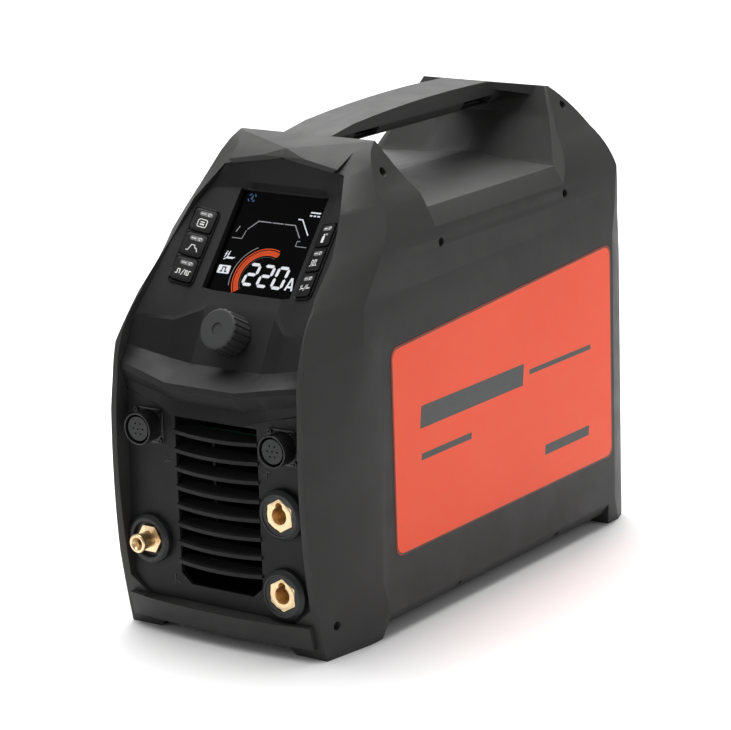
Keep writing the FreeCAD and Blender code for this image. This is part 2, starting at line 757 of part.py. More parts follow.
def knob():
    body = doc.addObject("PartDesign::Body", "knob_body")
    pad = body.newObject("PartDesign::Pad", "knob_disc")
    pad.Profile = disc_sketch(body, "knob_outline", "dims.knob_radius")
    bind(pad, Length="dims.knob_length")
    doc.recompute()
    rim = [f"Edge{i + 1}" for i, edge in enumerate(pad.Shape.Edges)
           if abs(edge.BoundBox.ZMin - size("knob_length")) < 0.01]
    soften = body.newObject("PartDesign::Fillet", "knob_edge")
    soften.Base = (pad, rim)
    soften.Radius = 2.2
    doc.recompute()
    flute = body.newObject("PartDesign::Pocket", "knob_flute")
    flute_place = (size("knob_radius") + 0.7, 0)
    flute.Profile = disc_sketch(body, "flute_outline", "dims.knob_radius / 11", flute_place)
    flute.Type = "ThroughAll"
    flute.Midplane = True
    doc.recompute()
    flutes = body.newObject("PartDesign::PolarPattern", "knob_flutes")
    flutes.Originals = [flute]
    flutes.Axis = (origin_plane(body, "Z_Axis"), [""])
    flutes.Angle = 360
    flutes.Occurrences = 20
    body.Tip = flutes
    doc.recompute()
    dimple = body.newObject("PartDesign::Pocket", "knob_dimple")
    face = size("knob_length")
    dimple.Profile = disc_sketch(body, "dimple_outline", "dims.knob_radius / 3.4", (0, 0), face)
    dimple.Length = 0.8
    doc.recompute()
    bore = body.newObject("PartDesign::Pocket", "knob_bore")
    bore.Profile = disc_sketch(body, "bore_outline", "dims.shaft_radius")
    bore.Length = 11
    bore.Reversed = True
    body.Tip = bore
    doc.recompute()
    body.Placement = axis_frame(1.4)
    return body


publish("control_knob", knob())


def axis_cylinder(name, radius, length, start):
    obj = doc.addObject("Part::Cylinder", name)
    bind(obj, Radius=radius, Height=length)
    obj.Placement = axis_frame(start)
    return obj


publish("encoder_shaft", axis_cylinder("shaft", "dims.shaft_radius", 34, -22))
encoder_case = axis_cylinder("encoder_case", 9, 20, -28)
encoder_neck = axis_cylinder("encoder_neck", 4.5, 8.4, -8)
encoder_bore = axis_cylinder("encoder_bore", "dims.shaft_radius + dims.shaft_fit", 30, -23)
push_chamber = axis_cylinder("push_chamber", 6.4, 5, -25.5)
encoder_blank = fuse("encoder_blank", [encoder_case, encoder_neck])
publish("encoder_body", cut("encoder", encoder_blank, fuse("encoder_tools", [encoder_bore, push_chamber])))
publish("encoder_push_plate", axis_cylinder("push_plate", 6, 1.2, -23.3))


# ---------------------------------------------------------------- fittings on the front

FACE = "-dims.panel_face"
FORWARD = (0, -1, 0)


def weld_socket(word, height_alias):
    x, z = "dims.weld_socket_x", f"dims.{height_alias}"
    radius = "dims.weld_flange_radius"
    plate = cylinder(f"flange_{word}", radius, 4.5, (x, FACE, z), FORWARD)
    bevel = cone(f"bevel_{word}", radius, radius + " - 3", 2.5, (x, FACE + " - 4.5", z), FORWARD)
    sleeve = cylinder(f"sleeve_{word}", 12.6, 16, (x, FACE + " + 16", z), FORWARD)
    blank = fuse(f"insulator_blank_{word}", [plate, bevel, sleeve])
    seat = hexagon(f"seat_{word}", 12.95, 8, (x, FACE + " - 1.1", z), FORWARD, 30)
    through = cylinder(f"through_{word}", 11.1, 40, (x, FACE + " + 20", z), FORWARD)
    ring = cylinder(f"ring_{word}", radius + " - 4.2", 1.0, (x, FACE + " - 6.2", z), FORWARD)
    tools = fuse(f"insulator_tools_{word}", [seat, through, ring])
    publish(f"weld_socket_flange_{word}", cut(f"insulator_{word}", blank, tools))
    # Brass insert: hexagonal head, round barrel, keyed bore.
    head = hexagon(f"brass_head_{word}", 12.7, 4.4, (x, FACE + " - 1.2", z), FORWARD, 30)
    barrel = cylinder(f"brass_barrel_{word}", 10.8, 36, (x, FACE + " + 30", z), FORWARD)
    bore = cylinder(f"brass_bore_{word}", "dims.weld_bore_radius", 30, (x, FACE + " + 20", z), FORWARD)
    keyway = cylinder(f"brass_key_{word}", 3.2, 30, (x, FACE + " + 20", z + " + 6.9"), FORWARD)
    blank = fuse(f"brass_blank_{word}", [head, barrel])
    tools = fuse(f"brass_tools_{word}", [bore, keyway])
    publish(f"weld_socket_insert_{word}", cut(f"brass_{word}", blank, tools))


weld_socket("upper", "weld_upper_z")
weld_socket("lower", "weld_lower_z")


def gas_outlet():
    x, z = "-dims.gas_x", "dims.gas_z"
    radius = "dims.gas_flange_radius"
    barrel_radius = "dims.gas_barrel_radius"
    plate = cylinder("gas_plate", radius, 4.5, (x, FACE, z), FORWARD)
    bevel = cone("gas_bevel", radius, radius + " - 2.5", 1.8, (x, FACE + " - 4.5", z), FORWARD)
    sleeve = cylinder("gas_sleeve", 6.0, 8, (x, FACE + " + 8", z), FORWARD)
    well = cylinder("gas_recess", radius + " - 5.2", 6, (x, FACE + " - 2", z), FORWARD)
    through = cylinder("gas_through", "dims.gas_stem_radius + 0.1", 30, (x, FACE + " + 15", z), FORWARD)
    blank = fuse("gas_flange_blank", [plate, bevel, sleeve])
    publish("gas_outlet_flange", cut("gas_flange", blank, fuse("gas_flange_tools", [well, through])))
    # Hexagon on the flange, round barrel and a collar with a flared mouth.
    nut = hexagon("gas_nut", 11.4, 2.4, (x, FACE + " - 2.1", z), FORWARD)
    stem = cylinder("gas_stem", "dims.gas_stem_radius", 30, (x, FACE + " + 20", z), FORWARD)
    barrel = cylinder("gas_barrel", barrel_radius, 13.5, (x, FACE + " - 4", z), FORWARD)
    collar = cylinder("gas_collar", barrel_radius + " + 1.1", 2, (x, FACE + " - 16.2", z), FORWARD)
    nose = cone("gas_nose", barrel_radius + " + 1.1", barrel_radius + " + 0.3", 0.8,
                (x, FACE + " - 18.2", z), FORWARD)
    bore = cylinder("gas_bore", 2.3, 60, (x, FACE + " + 30", z), FORWARD)
    mouth = cone("gas_mouth", 2.3, 5.1, 4.5, (x, FACE + " - 14.6", z), FORWARD)
    blank = fuse("gas_nipple_blank", [nut, stem, barrel, collar, nose])
    publish("gas_outlet_nipple", cut("gas_nipple", blank, fuse("gas_nipple_tools", [bore, mouth])))


gas_outlet()


def remote_socket(side, word):
    x = "dims.remote_x" if side > 0 else "-dims.remote_x"
    z = "dims.remote_z"
    reach = "dims.remote_reach"
    block = box(f"remote_block_{word}", 27, 27, 1.2, (x + " - 13.5", FACE, z + " - 13.5"), FORWARD)
    plate = rounded(f"remote_plate_{word}", block, 3)
    barrel = cylinder(f"remote_barrel_{word}", "dims.remote_radius", reach, (x, FACE, z), FORWARD)
    tail = cylinder(f"remote_tail_{word}", "dims.remote_radius - 0.4", 14, (x, FACE + " + 14", z), FORWARD)
    blank = fuse(f"remote_blank_{word}", [plate, barrel, tail])
    well = cylinder(f"remote_well_{word}", "dims.remote_radius - 1.2", 40, (x, FACE + " + 20", z), FORWARD)
    drills = []
    for i, (dx, dz) in enumerate(REMOTE_CORNERS):
        place = (f"{x} + {dx}", FACE + " + 4", f"{z} + {dz}")
        drills.append(cylinder(f"remote_drill_{word}_{i}", 1.3, 10, place, FORWARD))
    tools = fuse(f"remote_tools_{word}", [well] + drills)
    publish(f"remote_socket_{word}", cut(f"remote_{word}", blank, tools))
    core = cylinder(f"remote_core_{word}", "dims.remote_radius - 3", reach + " + 8.8",
                    (x, FACE + " + 10", z), FORWARD)
    base = cylinder(f"remote_base_{word}", "dims.remote_radius - 1.5", 5, (x, FACE + " + 12", z), FORWARD)
    pins = []
    for index in range(7):
        turn = math.radians(60 * index)
        ring = 0 if index == 6 else 4.4
        dx, dz = round(ring * math.cos(turn), 3), round(ring * math.sin(turn), 3)
        pins.append(cylinder(f"pin_hole_{word}_{index}", 0.75, 8,
                             (f"{x} + {dx}", f"{FACE} - {reach} + 4", f"{z} + {dz}"), FORWARD))
    solid = fuse(f"remote_core_blank_{word}", [core, base])
    publish(f"remote_insert_{word}", cut(f"remote_insert_{word}", solid, fuse(f"pin_holes_{word}", pins)))
    return [screw(f"remote_screw_{word}_{i}", (f"{x} + {dx}", FACE + " - 1.2", f"{z} + {dz}"), FORWARD)
            for i, (dx, dz) in enumerate(REMOTE_CORNERS)]


def screw(name, seat, axis):
    """Small pan-head screw whose head sits on the given point."""
    x, y, z = seat
    head = cylinder(name + "_head", 2.0, 1.4, seat, axis)
    behind = f"{y} + 2.2" if axis[1] < 0 else f"{y} - 2.2"
    shank = cylinder(name + "_shank", 1.2, 2.2, (x, behind, z), axis)
    drive = hexagon(name + "_drive", 1.0, 2, (x, f"{y} - 0.6" if axis[1] < 0 else f"{y} + 0.6", z), axis)
    return cut(name, fuse(name + "_blank", [head, shank]), drive)


small_screws = remote_socket(-1, "left") + remote_socket(1, "right")


# ---------------------------------------------------------------- side labels

LABEL_OUTLINE = [(-127, 60), (182, 60), (182, 237.5), (-127, 218.5)]
LABEL_THICK = 0.5


def label(side):
    face = Part.Face(wire([(side * (size("label_half_width") + 0.02), y, z) for y, z in LABEL_OUTLINE]))
    sheet_solid = face.extrude(Vector(side * LABEL_THICK, 0, 0))
    corners = [edge for edge in sheet_solid.Edges
               if abs(edge.tangentAt(edge.FirstParameter).x) > 0.99]
    return sheet_solid.makeFillet(9, corners)


publish("label_right", feature("label_right", label(1)))
publish("label_left", feature("label_left", label(-1)))


# ---------------------------------------------------------------- rear panel, fan and rear fittings

REAR = "dims.rear_face"
BACKWARD = (0, 1, 0)
SWITCH_X, SWITCH_Z = 46.0, 214.0
GLAND_X, GLAND_Z = 46.0, 50.0
INLET_X, INLET_Z = -46.0, 50.0


def rear_panel():
    face = size("rear_face")
    plate = prism_xz(rear_plate_outline(), face - 3, face)
    fan_z = size("fan_z")
    hub = 13.0
    pitch = 8.0
    slots = None
    ring = hub
    while ring + pitch < size("fan_radius"):
        outer = round_bar(ring + pitch - 2.6, (0, face - 10, fan_z), (0, face + 10, fan_z))
        band = outer.cut(round_bar(ring, (0, face - 11, fan_z), (0, face + 11, fan_z)))
        slots = band if slots is None else slots.fuse(band)
        ring += pitch
    for turn in (45, 135):
        spoke = Part.makeBox(240, 40, 4, Vector(-120, -20, -2))
        spoke.Placement = Placement(Vector(0, face, fan_z), Rotation(Vector(0, 1, 0), turn))
        slots = slots.cut(spoke)
    plate = plate.cut(slots)
    plate = plate.cut(Part.makeBox(22.6, 40, 30.6, Vector(SWITCH_X - 11.3, face - 20, SWITCH_Z - 15.3)))
    for x, z, radius in ((GLAND_X, GLAND_Z, 8.2), (INLET_X, INLET_Z, 6.2)):
        plate = plate.cut(round_bar(radius, (x, face - 20, z), (x, face + 20, z)))
    for x, z in FAN_CORNERS:
        plate = plate.cut(round_bar(1.3, (x, face - 20, fan_z + z), (x, face + 20, fan_z + z)))
    return plate


def rear_plate_outline():
    gap = size("panel_gap")
    return both_sides([
        (0, 34 + gap), (70 - gap / 2, 34 + gap), (80 - gap, 44 + gap / 2),
        (80 - gap, 232 - gap / 2), (70 - gap / 2, 246 - gap), (0, 246 - gap)])


FAN_CORNERS = [(52.5, 52.5), (-52.5, 52.5), (52.5, -52.5), (-52.5, -52.5)]
publish("rear_panel", feature("rear_panel", rear_panel()))
small_screws += [screw(f"fan_screw_{i}", (x, REAR, f"dims.fan_z + {z}"), BACKWARD)
                 for i, (x, z) in enumerate(FAN_CORNERS)]
publish("panel_screws", group("panel_screw_set", small_screws))


FAN_DEEP = 25


def fan():
    back = f"{REAR} - 3.2"
    front = f"{REAR} - 3.2 - {FAN_DEEP}"
    housing = box("fan_housing", 119, FAN_DEEP, 119, (-59.5, front, "dims.fan_z - 59.5"))
    duct = cylinder("fan_duct", "dims.fan_radius", 40, (0, f"{front} - 5", "dims.fan_z"), BACKWARD)
    holes = [cylinder(f"fan_hole_{i}", 1.3, 40, (x, f"{front} - 5", f"dims.fan_z + {z}"), BACKWARD)
             for i, (x, z) in enumerate(FAN_CORNERS)]
    ring = cut("fan_ring", housing, fuse("fan_holes", [duct] + holes))
    span = "2 * dims.fan_radius + 4"
    arms = [box("fan_arm_wide", span, 3, 5, ("-dims.fan_radius - 2", front, "dims.fan_z - 2.5")),
            box("fan_arm_tall", 5, 3, span, (-2.5, front, "dims.fan_z - dims.fan_radius - 2"))]
    stator = cylinder("fan_stator", 17, 4, (0, front, "dims.fan_z"), BACKWARD)
    pin = cylinder("fan_pin", 2, 20, (0, front, "dims.fan_z"), BACKWARD)
    publish("fan_frame", fuse("fan_frame_body", [ring] + arms + [stator, pin]))


def fan_rotor():
    front = f"{REAR} - 3.2 - {FAN_DEEP}"
    start = f"{front} + 5"
    hub = cylinder("rotor_hub", 18, 17, (0, start, "dims.fan_z"), BACKWARD)
    blades = []
    count = 7
    for index in range(count):
        blade = doc.addObject("Part::Box", f"blade_{index}")
        bind(blade, Length="dims.rotor_radius - 16", Width=2, Height=21)
        doc.recompute()
        pitch = Rotation(Vector(1, 0, 0), 52)
        reach = Placement(Vector(16, 0, 0), Rotation())
        lay = Placement(Vector(), pitch).multiply(Placement(Vector(0, -1, -10.5), Rotation()))
        around = Placement(Vector(0, size("rear_face") - 3.2 - FAN_DEEP + 13.5, size("fan_z")),
                           Rotation(Vector(0, 1, 0), 360 * index / count))
        blade.Placement = around.multiply(reach).multiply(lay)
        blades.append(blade)
    bore = cylinder("rotor_bore", 2.06, 40, (0, f"{start} - 5", "dims.fan_z"), BACKWARD)
    publish("fan_rotor", cut("rotor", fuse("rotor_blank", [hub] + blades), bore))


fan()
fan_rotor()


def power_switch():
    face = size("rear_face")
    bezel = box("switch_bezel", 26, 2, 34, (SWITCH_X - 13, REAR, SWITCH_Z - 17))
    case = box("switch_case", 22, 24, 30, (SWITCH_X - 11, f"{REAR} - 23", SWITCH_Z - 15))
    well = box("switch_well", 18.4, 20, 25, (SWITCH_X - 9.2, f"{REAR} - 8", SWITCH_Z - 12.5))
    publish("power_switch_case", cut("switch", fuse("switch_blank", [bezel, case]), well))
    # Rocker, seen from the side: a shallow vee, resting with its lower half pressed.
    reach, rise = 11.0, math.tan(math.radians(9)) * 11.0
    section = [(face + 2.6 + rise, reach), (face + 2.6, 0), (face + 2.6 + rise, -reach),
               (face - 1.5, -reach + 1.5), (face - 4, -3), (face - 4, 3), (face - 1.5, reach - 1.5)]
    rocker = prism_yz([(y, SWITCH_Z + z) for y, z in section], SWITCH_X - 8.8, SWITCH_X + 8.8)
    rocker.rotate(Vector(SWITCH_X, face - 1, SWITCH_Z), Vector(1, 0, 0), ROCKER_REST)
    publish("power_switch_rocker", feature("rocker", rocker))


ROCKER_REST = -8.0
power_switch()

gland_flange = hexagon("gland_hex", "dims.gland_radius", 5, (GLAND_X, REAR, GLAND_Z), BACKWARD)
gland_dome = cone("gland_dome", "dims.gland_radius - 1.6", "dims.gland_radius - 3", 6.5,
                  (GLAND_X, f"{REAR} + 5", GLAND_Z), BACKWARD)
gland_thread = cylinder("gland_thread", 8, 12, (GLAND_X, f"{REAR} - 12", GLAND_Z), BACKWARD)
gland_bore = cylinder("gland_hole", "dims.gland_bore_radius", 40,
                      (GLAND_X, f"{REAR} - 20", GLAND_Z), BACKWARD)
gland_blank = fuse("gland_blank", [gland_flange, gland_dome, gland_thread])
publish("mains_cable_gland", cut("gland", gland_blank, gland_bore))
nut_blank = hexagon("gland_nut_blank", 11, 4, (GLAND_X, f"{REAR} - 7.2", GLAND_Z), BACKWARD)
nut_hole = cylinder("gland_nut_hole", 8.05, 10, (GLAND_X, f"{REAR} - 10", GLAND_Z), BACKWARD)
publish("mains_gland_nut", cut("gland_nut", nut_blank, nut_hole))

inlet_nut = hexagon("inlet_nut", 9, 4, (INLET_X, REAR, INLET_Z), BACKWARD)
inlet_stem = cylinder("inlet_stem", "dims.inlet_radius", 45.8, (INLET_X, 178.2, INLET_Z), BACKWARD)
inlet_bore = cylinder("inlet_bore", 2.2, 60, (INLET_X, f"{REAR} - 30", INLET_Z), BACKWARD)
publish("gas_inlet_nipple", cut("inlet", fuse("inlet_blank", [inlet_nut, inlet_stem]), inlet_bore))


# ---------------------------------------------------------------- inside the cabinet

SEAT = 14.3              # just above the chassis plate
BOARD_LOW = 136.0
STANDOFFS = [(-71, -120), (71, -120), (-71, 105), (71, 105)]

publish("chassis_plate", box("chassis", 168, 372, 2, (-84, -178, 12.2)))
publish("power_board", box("power_pcb", 150, 240, 2, (-75, -130, BOARD_LOW)))
publish("board_standoffs", group("standoffs", [
    cylinder(f"standoff_{i}", 4, BOARD_LOW - 0.1 - SEAT, (x, y, SEAT))
    for i, (x, y) in enumerate(STANDOFFS)]))


def heatsink(word, x_low):
    body = doc.addObject("PartDesign::Body", f"heatsink_body_{word}")

    def plate(name, corners):
        sketch = body.newObject("Sketcher::SketchObject", name + "_outline")
        sketch.AttachmentSupport = [(origin_plane(body, "XZ_Plane"), "")]
        sketch.MapMode = "FlatFace"
        for a, b in zip(corners, corners[1:] + corners[:1]):
            sketch.addGeometry(Part.LineSegment(Vector(*a, 0), Vector(*b, 0)))
        pad = body.newObject("PartDesign::Pad", name)
        pad.Profile = sketch
        pad.Length = 100
        doc.recompute()
        return pad

    plate(f"sink_base_{word}", [(0, 0), (44, 0), (44, 6), (0, 6)])
    fin = plate(f"sink_fin_{word}", [(0, 5), (1.6, 5), (1.6, 56), (0, 56)])
    pattern = body.newObject("PartDesign::LinearPattern", f"sink_fins_{word}")
    pattern.Originals = [fin]
    pattern.Direction = (origin_plane(body, "X_Axis"), [""])
    pattern.Length = 42.4
    pattern.Occurrences = 9
    body.Tip = pattern
    doc.recompute()
    body.Placement = Placement(Vector(x_low, 40, 146), Rotation())
    return publish(f"heatsink_{word}", body)


heatsink("primary", -62)
heatsink("secondary", 18)


def power_modules(word, x_low):
    modules = [box(f"module_{word}_{i}", 16, 20, 5, (x_low + 4 + 20 * (i % 2), -45 + 30 * (i // 2), 140.4))
               for i in range(4)]
    legs = [box(f"module_legs_{word}_{i}", 10, 1, 2.6, (x_low + 7 + 20 * (i % 2), -44 + 30 * (i // 2), 138.1))
            for i in range(4)]
    pairs = [fuse(f"module_pair_{word}_{i}", [a, b]) for i, (a, b) in enumerate(zip(modules, legs))]
    return pairs


publish("power_modules", group("modules", power_modules("primary", -62) + power_modules("secondary", 18)))

publish("mains_capacitors", group("capacitors", [
    cylinder(f"capacitor_{i}", 13, 42, (-54 + 36 * i, 88, 138.2)) for i in range(4)]))


def transformer():
    block = box("core_block", 64, 24, 54, (-32, -62, SEAT))
    windows = [box(f"core_window_{i}", 14, 40, 34, (x, -70, SEAT + 10)) for i, x in enumerate((-22, 8))]
    publish("transformer_core", cut("core", block, fuse("core_windows", windows)))
    outer = box("coil_block", 40, 40, 32, (-20, -70, SEAT + 11))
    bore = box("coil_limb", 17, 25, 60, (-8.5, -62.5, SEAT))
    publish("transformer_winding", cut("coil", outer, bore))


transformer()


def choke():
    middle = SEAT + 14.2
    ring = cylinder("choke_blank", 28, 22, (0, 30, middle - 11))
    hole = cylinder("choke_hole", 14, 60, (0, 30, SEAT))
    publish("output_choke_core", cut("choke_core", ring, hole))
    turns = []
    count = 14
    for index in range(count):
        angle = 360 * index / count
        spin = Placement(Vector(0, 30, middle), Rotation(Vector(0, 0, 1), angle))
        outer = Part.makeBox(20, 4, 28, Vector(11, -2, -14))
        loop = outer.cut(Part.makeBox(14.6, 6, 22.6, Vector(13.7, -3, -11.3)))
        loop.Placement = spin
        turns.append(feature(f"choke_turn_{index}", loop))
    publish("output_choke_winding", group("choke_turns", turns))


choke()

publish("ignition_unit", box("ignition", 26, 60, 46, (-80, -110, SEAT)))
publish("input_filter", fuse("filter", [
    box("filter_board", 60, 30, 2, (-10, 134, SEAT)),
    cylinder("filter_coil", 12, 20, (4, 149, SEAT + 1)),
    box("filter_block", 14, 20, 16, (28, 139, SEAT + 1))]))


def gas_valve():
    x, y, z = INLET_X, 165, INLET_Z
    block = box("valve_block", 24, 26, 18, (x - 12, y - 13, z - 9))
    passage = cylinder("valve_passage", 2.2, 60, (x, y - 30, z), BACKWARD)
    tube = cylinder("valve_tube", 6, 34, (x, y, z + 8))
    guide = cylinder("valve_guide", 4.05, 30, (x, y, z + 9))
    tools = fuse("valve_tools", [passage, guide])
    publish("gas_valve_body", cut("valve", fuse("valve_blank", [block, tube]), tools))
    coil = box("coil_case", 20, 22, 24, (x - 10, y - 11, z + 11))
    coil_hole = cylinder("coil_hole", 6.1, 40, (x, y, z))
    publish("gas_valve_coil", cut("valve_coil", coil, coil_hole))
    publish("gas_valve_plunger", cylinder("plunger", 4, 16, (x, y, z + 9.2)))
    spring_wire = 0.5
    spring_low, spring_high = z + 25.6, z + 38.6
    pitch = 3.0
    helix = Part.makeHelix(pitch, spring_high - spring_low - 2 * spring_wire, 3.0)
    circle = Part.Wire(Part.makeCircle(spring_wire, Vector(3.0, 0, 0), Vector(0, 1, 0)))
    spring = Part.Wire(helix).makePipeShell([circle], True, True)
    spring.translate(Vector(x, y, spring_low + spring_wire))
    publish("gas_valve_spring", feature("spring", spring))


gas_valve()


def hose(route, radius):
    """Round hose along straight runs joined by tangent arcs."""
    points = [Vector(*p) for p in route]
    edges = []
    start = points[0]
    for i in range(1, len(points) - 1):
        into = (points[i] - points[i - 1])
        out = (points[i + 1] - points[i])
        shorter = min(into.Length, out.Length)
        into.normalize()
        out.normalize()
        turn = into.getAngle(out)
        reach = 0.45 * shorter
        bend = reach / math.tan(turn / 2)
        a, b = points[i] - into * reach, points[i] + out * reach
        inward = (out - into).normalize()
        middle = points[i] + inward * (bend / math.cos(turn / 2) - bend)
        edges.append(Part.LineSegment(start, a).toShape())
        edges.append(Part.Arc(a, middle, b).toShape())
        start = b
    edges.append(Part.LineSegment(start, points[-1]).toShape())
    path = Part.Wire(edges)
    heading = (points[1] - points[0]).normalize()
    outer = path.makePipeShell([Part.Wire(Part.makeCircle(radius, points[0], heading))], True, True)
    inner = path.makePipeShell([Part.Wire(Part.makeCircle(radius - 1.6, points[0], heading))], True, True)
    return outer.cut(inner)


publish("gas_hose_outlet", feature("hose_out", hose(
    [(INLET_X, 151.8, INLET_Z), (INLET_X, 115, INLET_Z), (-86, 75, 46), (-88, -60, 46),
     (-86, -130, 60), (-65, -160, 71), (-65, -184.8, 71)], 4.0)))


def busbar(word, z, length):
    """Copper strip from the back of a weld socket, turned up to the power board."""
    start = size("weld_socket_x")
    back = -size("panel_face") + 30.2
    strip = box(f"bus_strip_{word}", 12, length, 3, (start - 6, back, z - 1.5))
    riser = box(f"bus_riser_{word}", 12, 3, 135.8 - (z - 1.5), (start - 6, back + length - 3, z - 1.5))
    return fuse(f"bus_{word}", [strip, riser])


publish("busbars", group("busbar_pair", [
    busbar("upper", size("weld_upper_z"), 50), busbar("lower", size("weld_lower_z"), 70)]))


doc.recompute()
failed = [obj.Name for obj in doc.Objects if "Invalid" in obj.State or "Error" in obj.State]
if failed:
    raise RuntimeError(f"objects failed to recompute: {failed}")
for obj in parts:
    if obj.Shape.isNull() or not obj.Shape.isValid():
        raise RuntimeError(f"{obj.Label} has no valid shape")
os.makedirs("parts", exist_ok=True)
for obj in parts:
    obj.Shape.exportStep("parts/" + obj.Label + ".step")
print(len(parts), "sub-parts written")
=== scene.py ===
import json
import math

import bmesh
import bpy
from mathutils import Matrix, Vector


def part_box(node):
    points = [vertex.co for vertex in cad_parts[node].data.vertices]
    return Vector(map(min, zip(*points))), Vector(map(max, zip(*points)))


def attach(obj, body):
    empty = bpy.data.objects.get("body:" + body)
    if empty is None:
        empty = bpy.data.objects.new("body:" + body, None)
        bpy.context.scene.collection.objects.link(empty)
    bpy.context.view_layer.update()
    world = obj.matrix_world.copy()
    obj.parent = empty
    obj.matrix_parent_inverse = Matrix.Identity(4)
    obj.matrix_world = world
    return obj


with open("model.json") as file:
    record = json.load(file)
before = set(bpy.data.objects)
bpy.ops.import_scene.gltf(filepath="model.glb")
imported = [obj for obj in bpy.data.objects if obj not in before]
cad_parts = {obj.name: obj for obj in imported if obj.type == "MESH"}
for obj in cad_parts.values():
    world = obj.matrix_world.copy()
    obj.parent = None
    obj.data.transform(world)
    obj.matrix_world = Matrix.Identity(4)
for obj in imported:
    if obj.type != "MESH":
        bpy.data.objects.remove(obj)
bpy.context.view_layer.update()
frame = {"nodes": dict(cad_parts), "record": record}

# Lengths are metres; lengths of drawn symbols are millimetres, turned to metres by MM.
MM = 0.001
UP = Vector((0, 0, 1))
RIGHT = Vector((1, 0, 0))
NODES = frame["nodes"]


def middle(node):
    low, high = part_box(node)
    return (low + high) / 2


# ---------------------------------------------------------------- node materials

class Graph:
    """A material's node tree, with short ways to add the nodes used here."""

    def __init__(self, name):
        self.material = bpy.data.materials.new(name)
        self.material.use_nodes = True
        self.tree = self.material.node_tree
        self.shader = self.tree.nodes["Principled BSDF"]
        self.place = self.tree.nodes.new("ShaderNodeTexCoord").outputs["Object"]

    def add(self, kind, inputs=None, **settings):
        node = self.tree.nodes.new(kind)
        for name, value in settings.items():
            setattr(node, name, value)
        for name, value in (inputs or {}).items():
            self.put(node.inputs[name], value)
        return node

    def put(self, socket, value):
        if isinstance(value, bpy.types.NodeSocket):
            self.tree.links.new(value, socket)
        else:
            socket.default_value = value

    def stretched(self, scale):
        mapping = self.add("ShaderNodeMapping", {"Vector": self.place, "Scale": scale})
        return mapping.outputs["Vector"]

    def noise(self, scale, detail=3.0, vector=None):
        node = self.add("ShaderNodeTexNoise", {
            "Vector": vector or self.place, "Scale": scale, "Detail": detail})
        return node.outputs["Fac"]

    def cells(self, scale):
        node = self.add("ShaderNodeTexVoronoi", {"Vector": self.place, "Scale": scale})
        return node.outputs["Distance"]

    def spread(self, value, low, high, start=0.3, end=0.7):
        node = self.add("ShaderNodeMapRange", {
            "Value": value, "From Min": start, "From Max": end, "To Min": low, "To Max": high})
        return node.outputs["Result"]

    def blend(self, amount, first, second):
        node = self.add("ShaderNodeMix", {"Factor": amount}, data_type="RGBA")
        self.put(node.inputs[6], (*first, 1))
        self.put(node.inputs[7], (*second, 1))
        return node.outputs[2]

    def relief(self, height, depth, strength=1.0, below=None):
        inputs = {"Height": height, "Distance": depth, "Strength": strength}
        if below is not None:
            inputs["Normal"] = below
        return self.add("ShaderNodeBump", inputs).outputs["Normal"]

    def finish(self, **sockets):
        for name, value in sockets.items():
            if isinstance(value, tuple):
                value = (*value, 1)
            self.put(self.shader.inputs[name.replace("_", " ")], value)
        return self.material


def shade(colour, factor):
    return tuple(channel * factor for channel in colour)


def moulded(name, colour, rough, grain=1600, depth=0.00006, gloss=0.5):
    """Injection-moulded plastic: spark-eroded grain, faint flow marks and handling marks."""
    g = Graph(name)
    flow = g.noise(14, 4)
    tone = g.spread(flow, 0, 1, 0.35, 0.65)
    fine = g.noise(grain, 2)
    pits = g.cells(grain * 0.8)
    smudge = g.noise(45, 5)
    base = g.blend(tone, shade(colour, 0.93), shade(colour, 1.06))
    roughness = g.spread(smudge, rough - 0.05, rough + 0.06)
    soft = g.relief(fine, depth, 0.7)
    return g.finish(Base_Color=base, Roughness=roughness, Normal=g.relief(pits, depth * 0.6, 0.5, soft),
                    Specular_IOR_Level=gloss)


def shell_plastic():
    return moulded("shell_plastic", (0.032, 0.0316, 0.031), 0.52, gloss=0.24)


def panel_plastic():
    return moulded("panel_plastic", (0.0155, 0.0155, 0.016), 0.46, 2200, 0.00004, 0.16)


def knob_plastic():
    return moulded("knob_plastic", (0.036, 0.0365, 0.038), 0.6, 1400, 0.00008, 0.3)


def key_plastic():
    return moulded("key_plastic", (0.006, 0.006, 0.0065), 0.4, 2600, 0.00002, 0.2)


def socket_plastic():
    return moulded("socket_plastic", (0.014, 0.0145, 0.0155), 0.4, 2400, 0.00003, 0.35)


def fan_plastic():
    return moulded("fan_plastic", (0.020, 0.020, 0.021), 0.45)


def epoxy():
    return moulded("epoxy", (0.022, 0.022, 0.023), 0.5, 900, 0.00008)


def capacitor_sleeve():
    return moulded("capacitor_sleeve", (0.018, 0.026, 0.055), 0.3, 1200, 0.00003)


def hose_rubber():
    return moulded("hose_rubber", (0.026, 0.026, 0.026), 0.62, 700, 0.00015)


def ferrite():
    return moulded("ferrite", (0.050, 0.050, 0.054), 0.6, 1500, 0.00010)


def label_film():
    """Printed orange film, a little uneven where it is laid on."""
    g = Graph("label_film")
    drift = g.spread(g.noise(6, 3), 0, 1)
    base = g.blend(drift, (0.85, 0.080, 0.024), (0.89, 0.092, 0.030))
    ripple = g.relief(g.noise(30, 2), 0.0004, 0.25)
    speckle = g.relief(g.noise(3000, 2), 0.00002, 0.5, ripple)
    return g.finish(Base_Color=base, Roughness=g.spread(g.noise(60, 5), 0.36, 0.46), Normal=speckle,
                    Specular_IOR_Level=0.25)


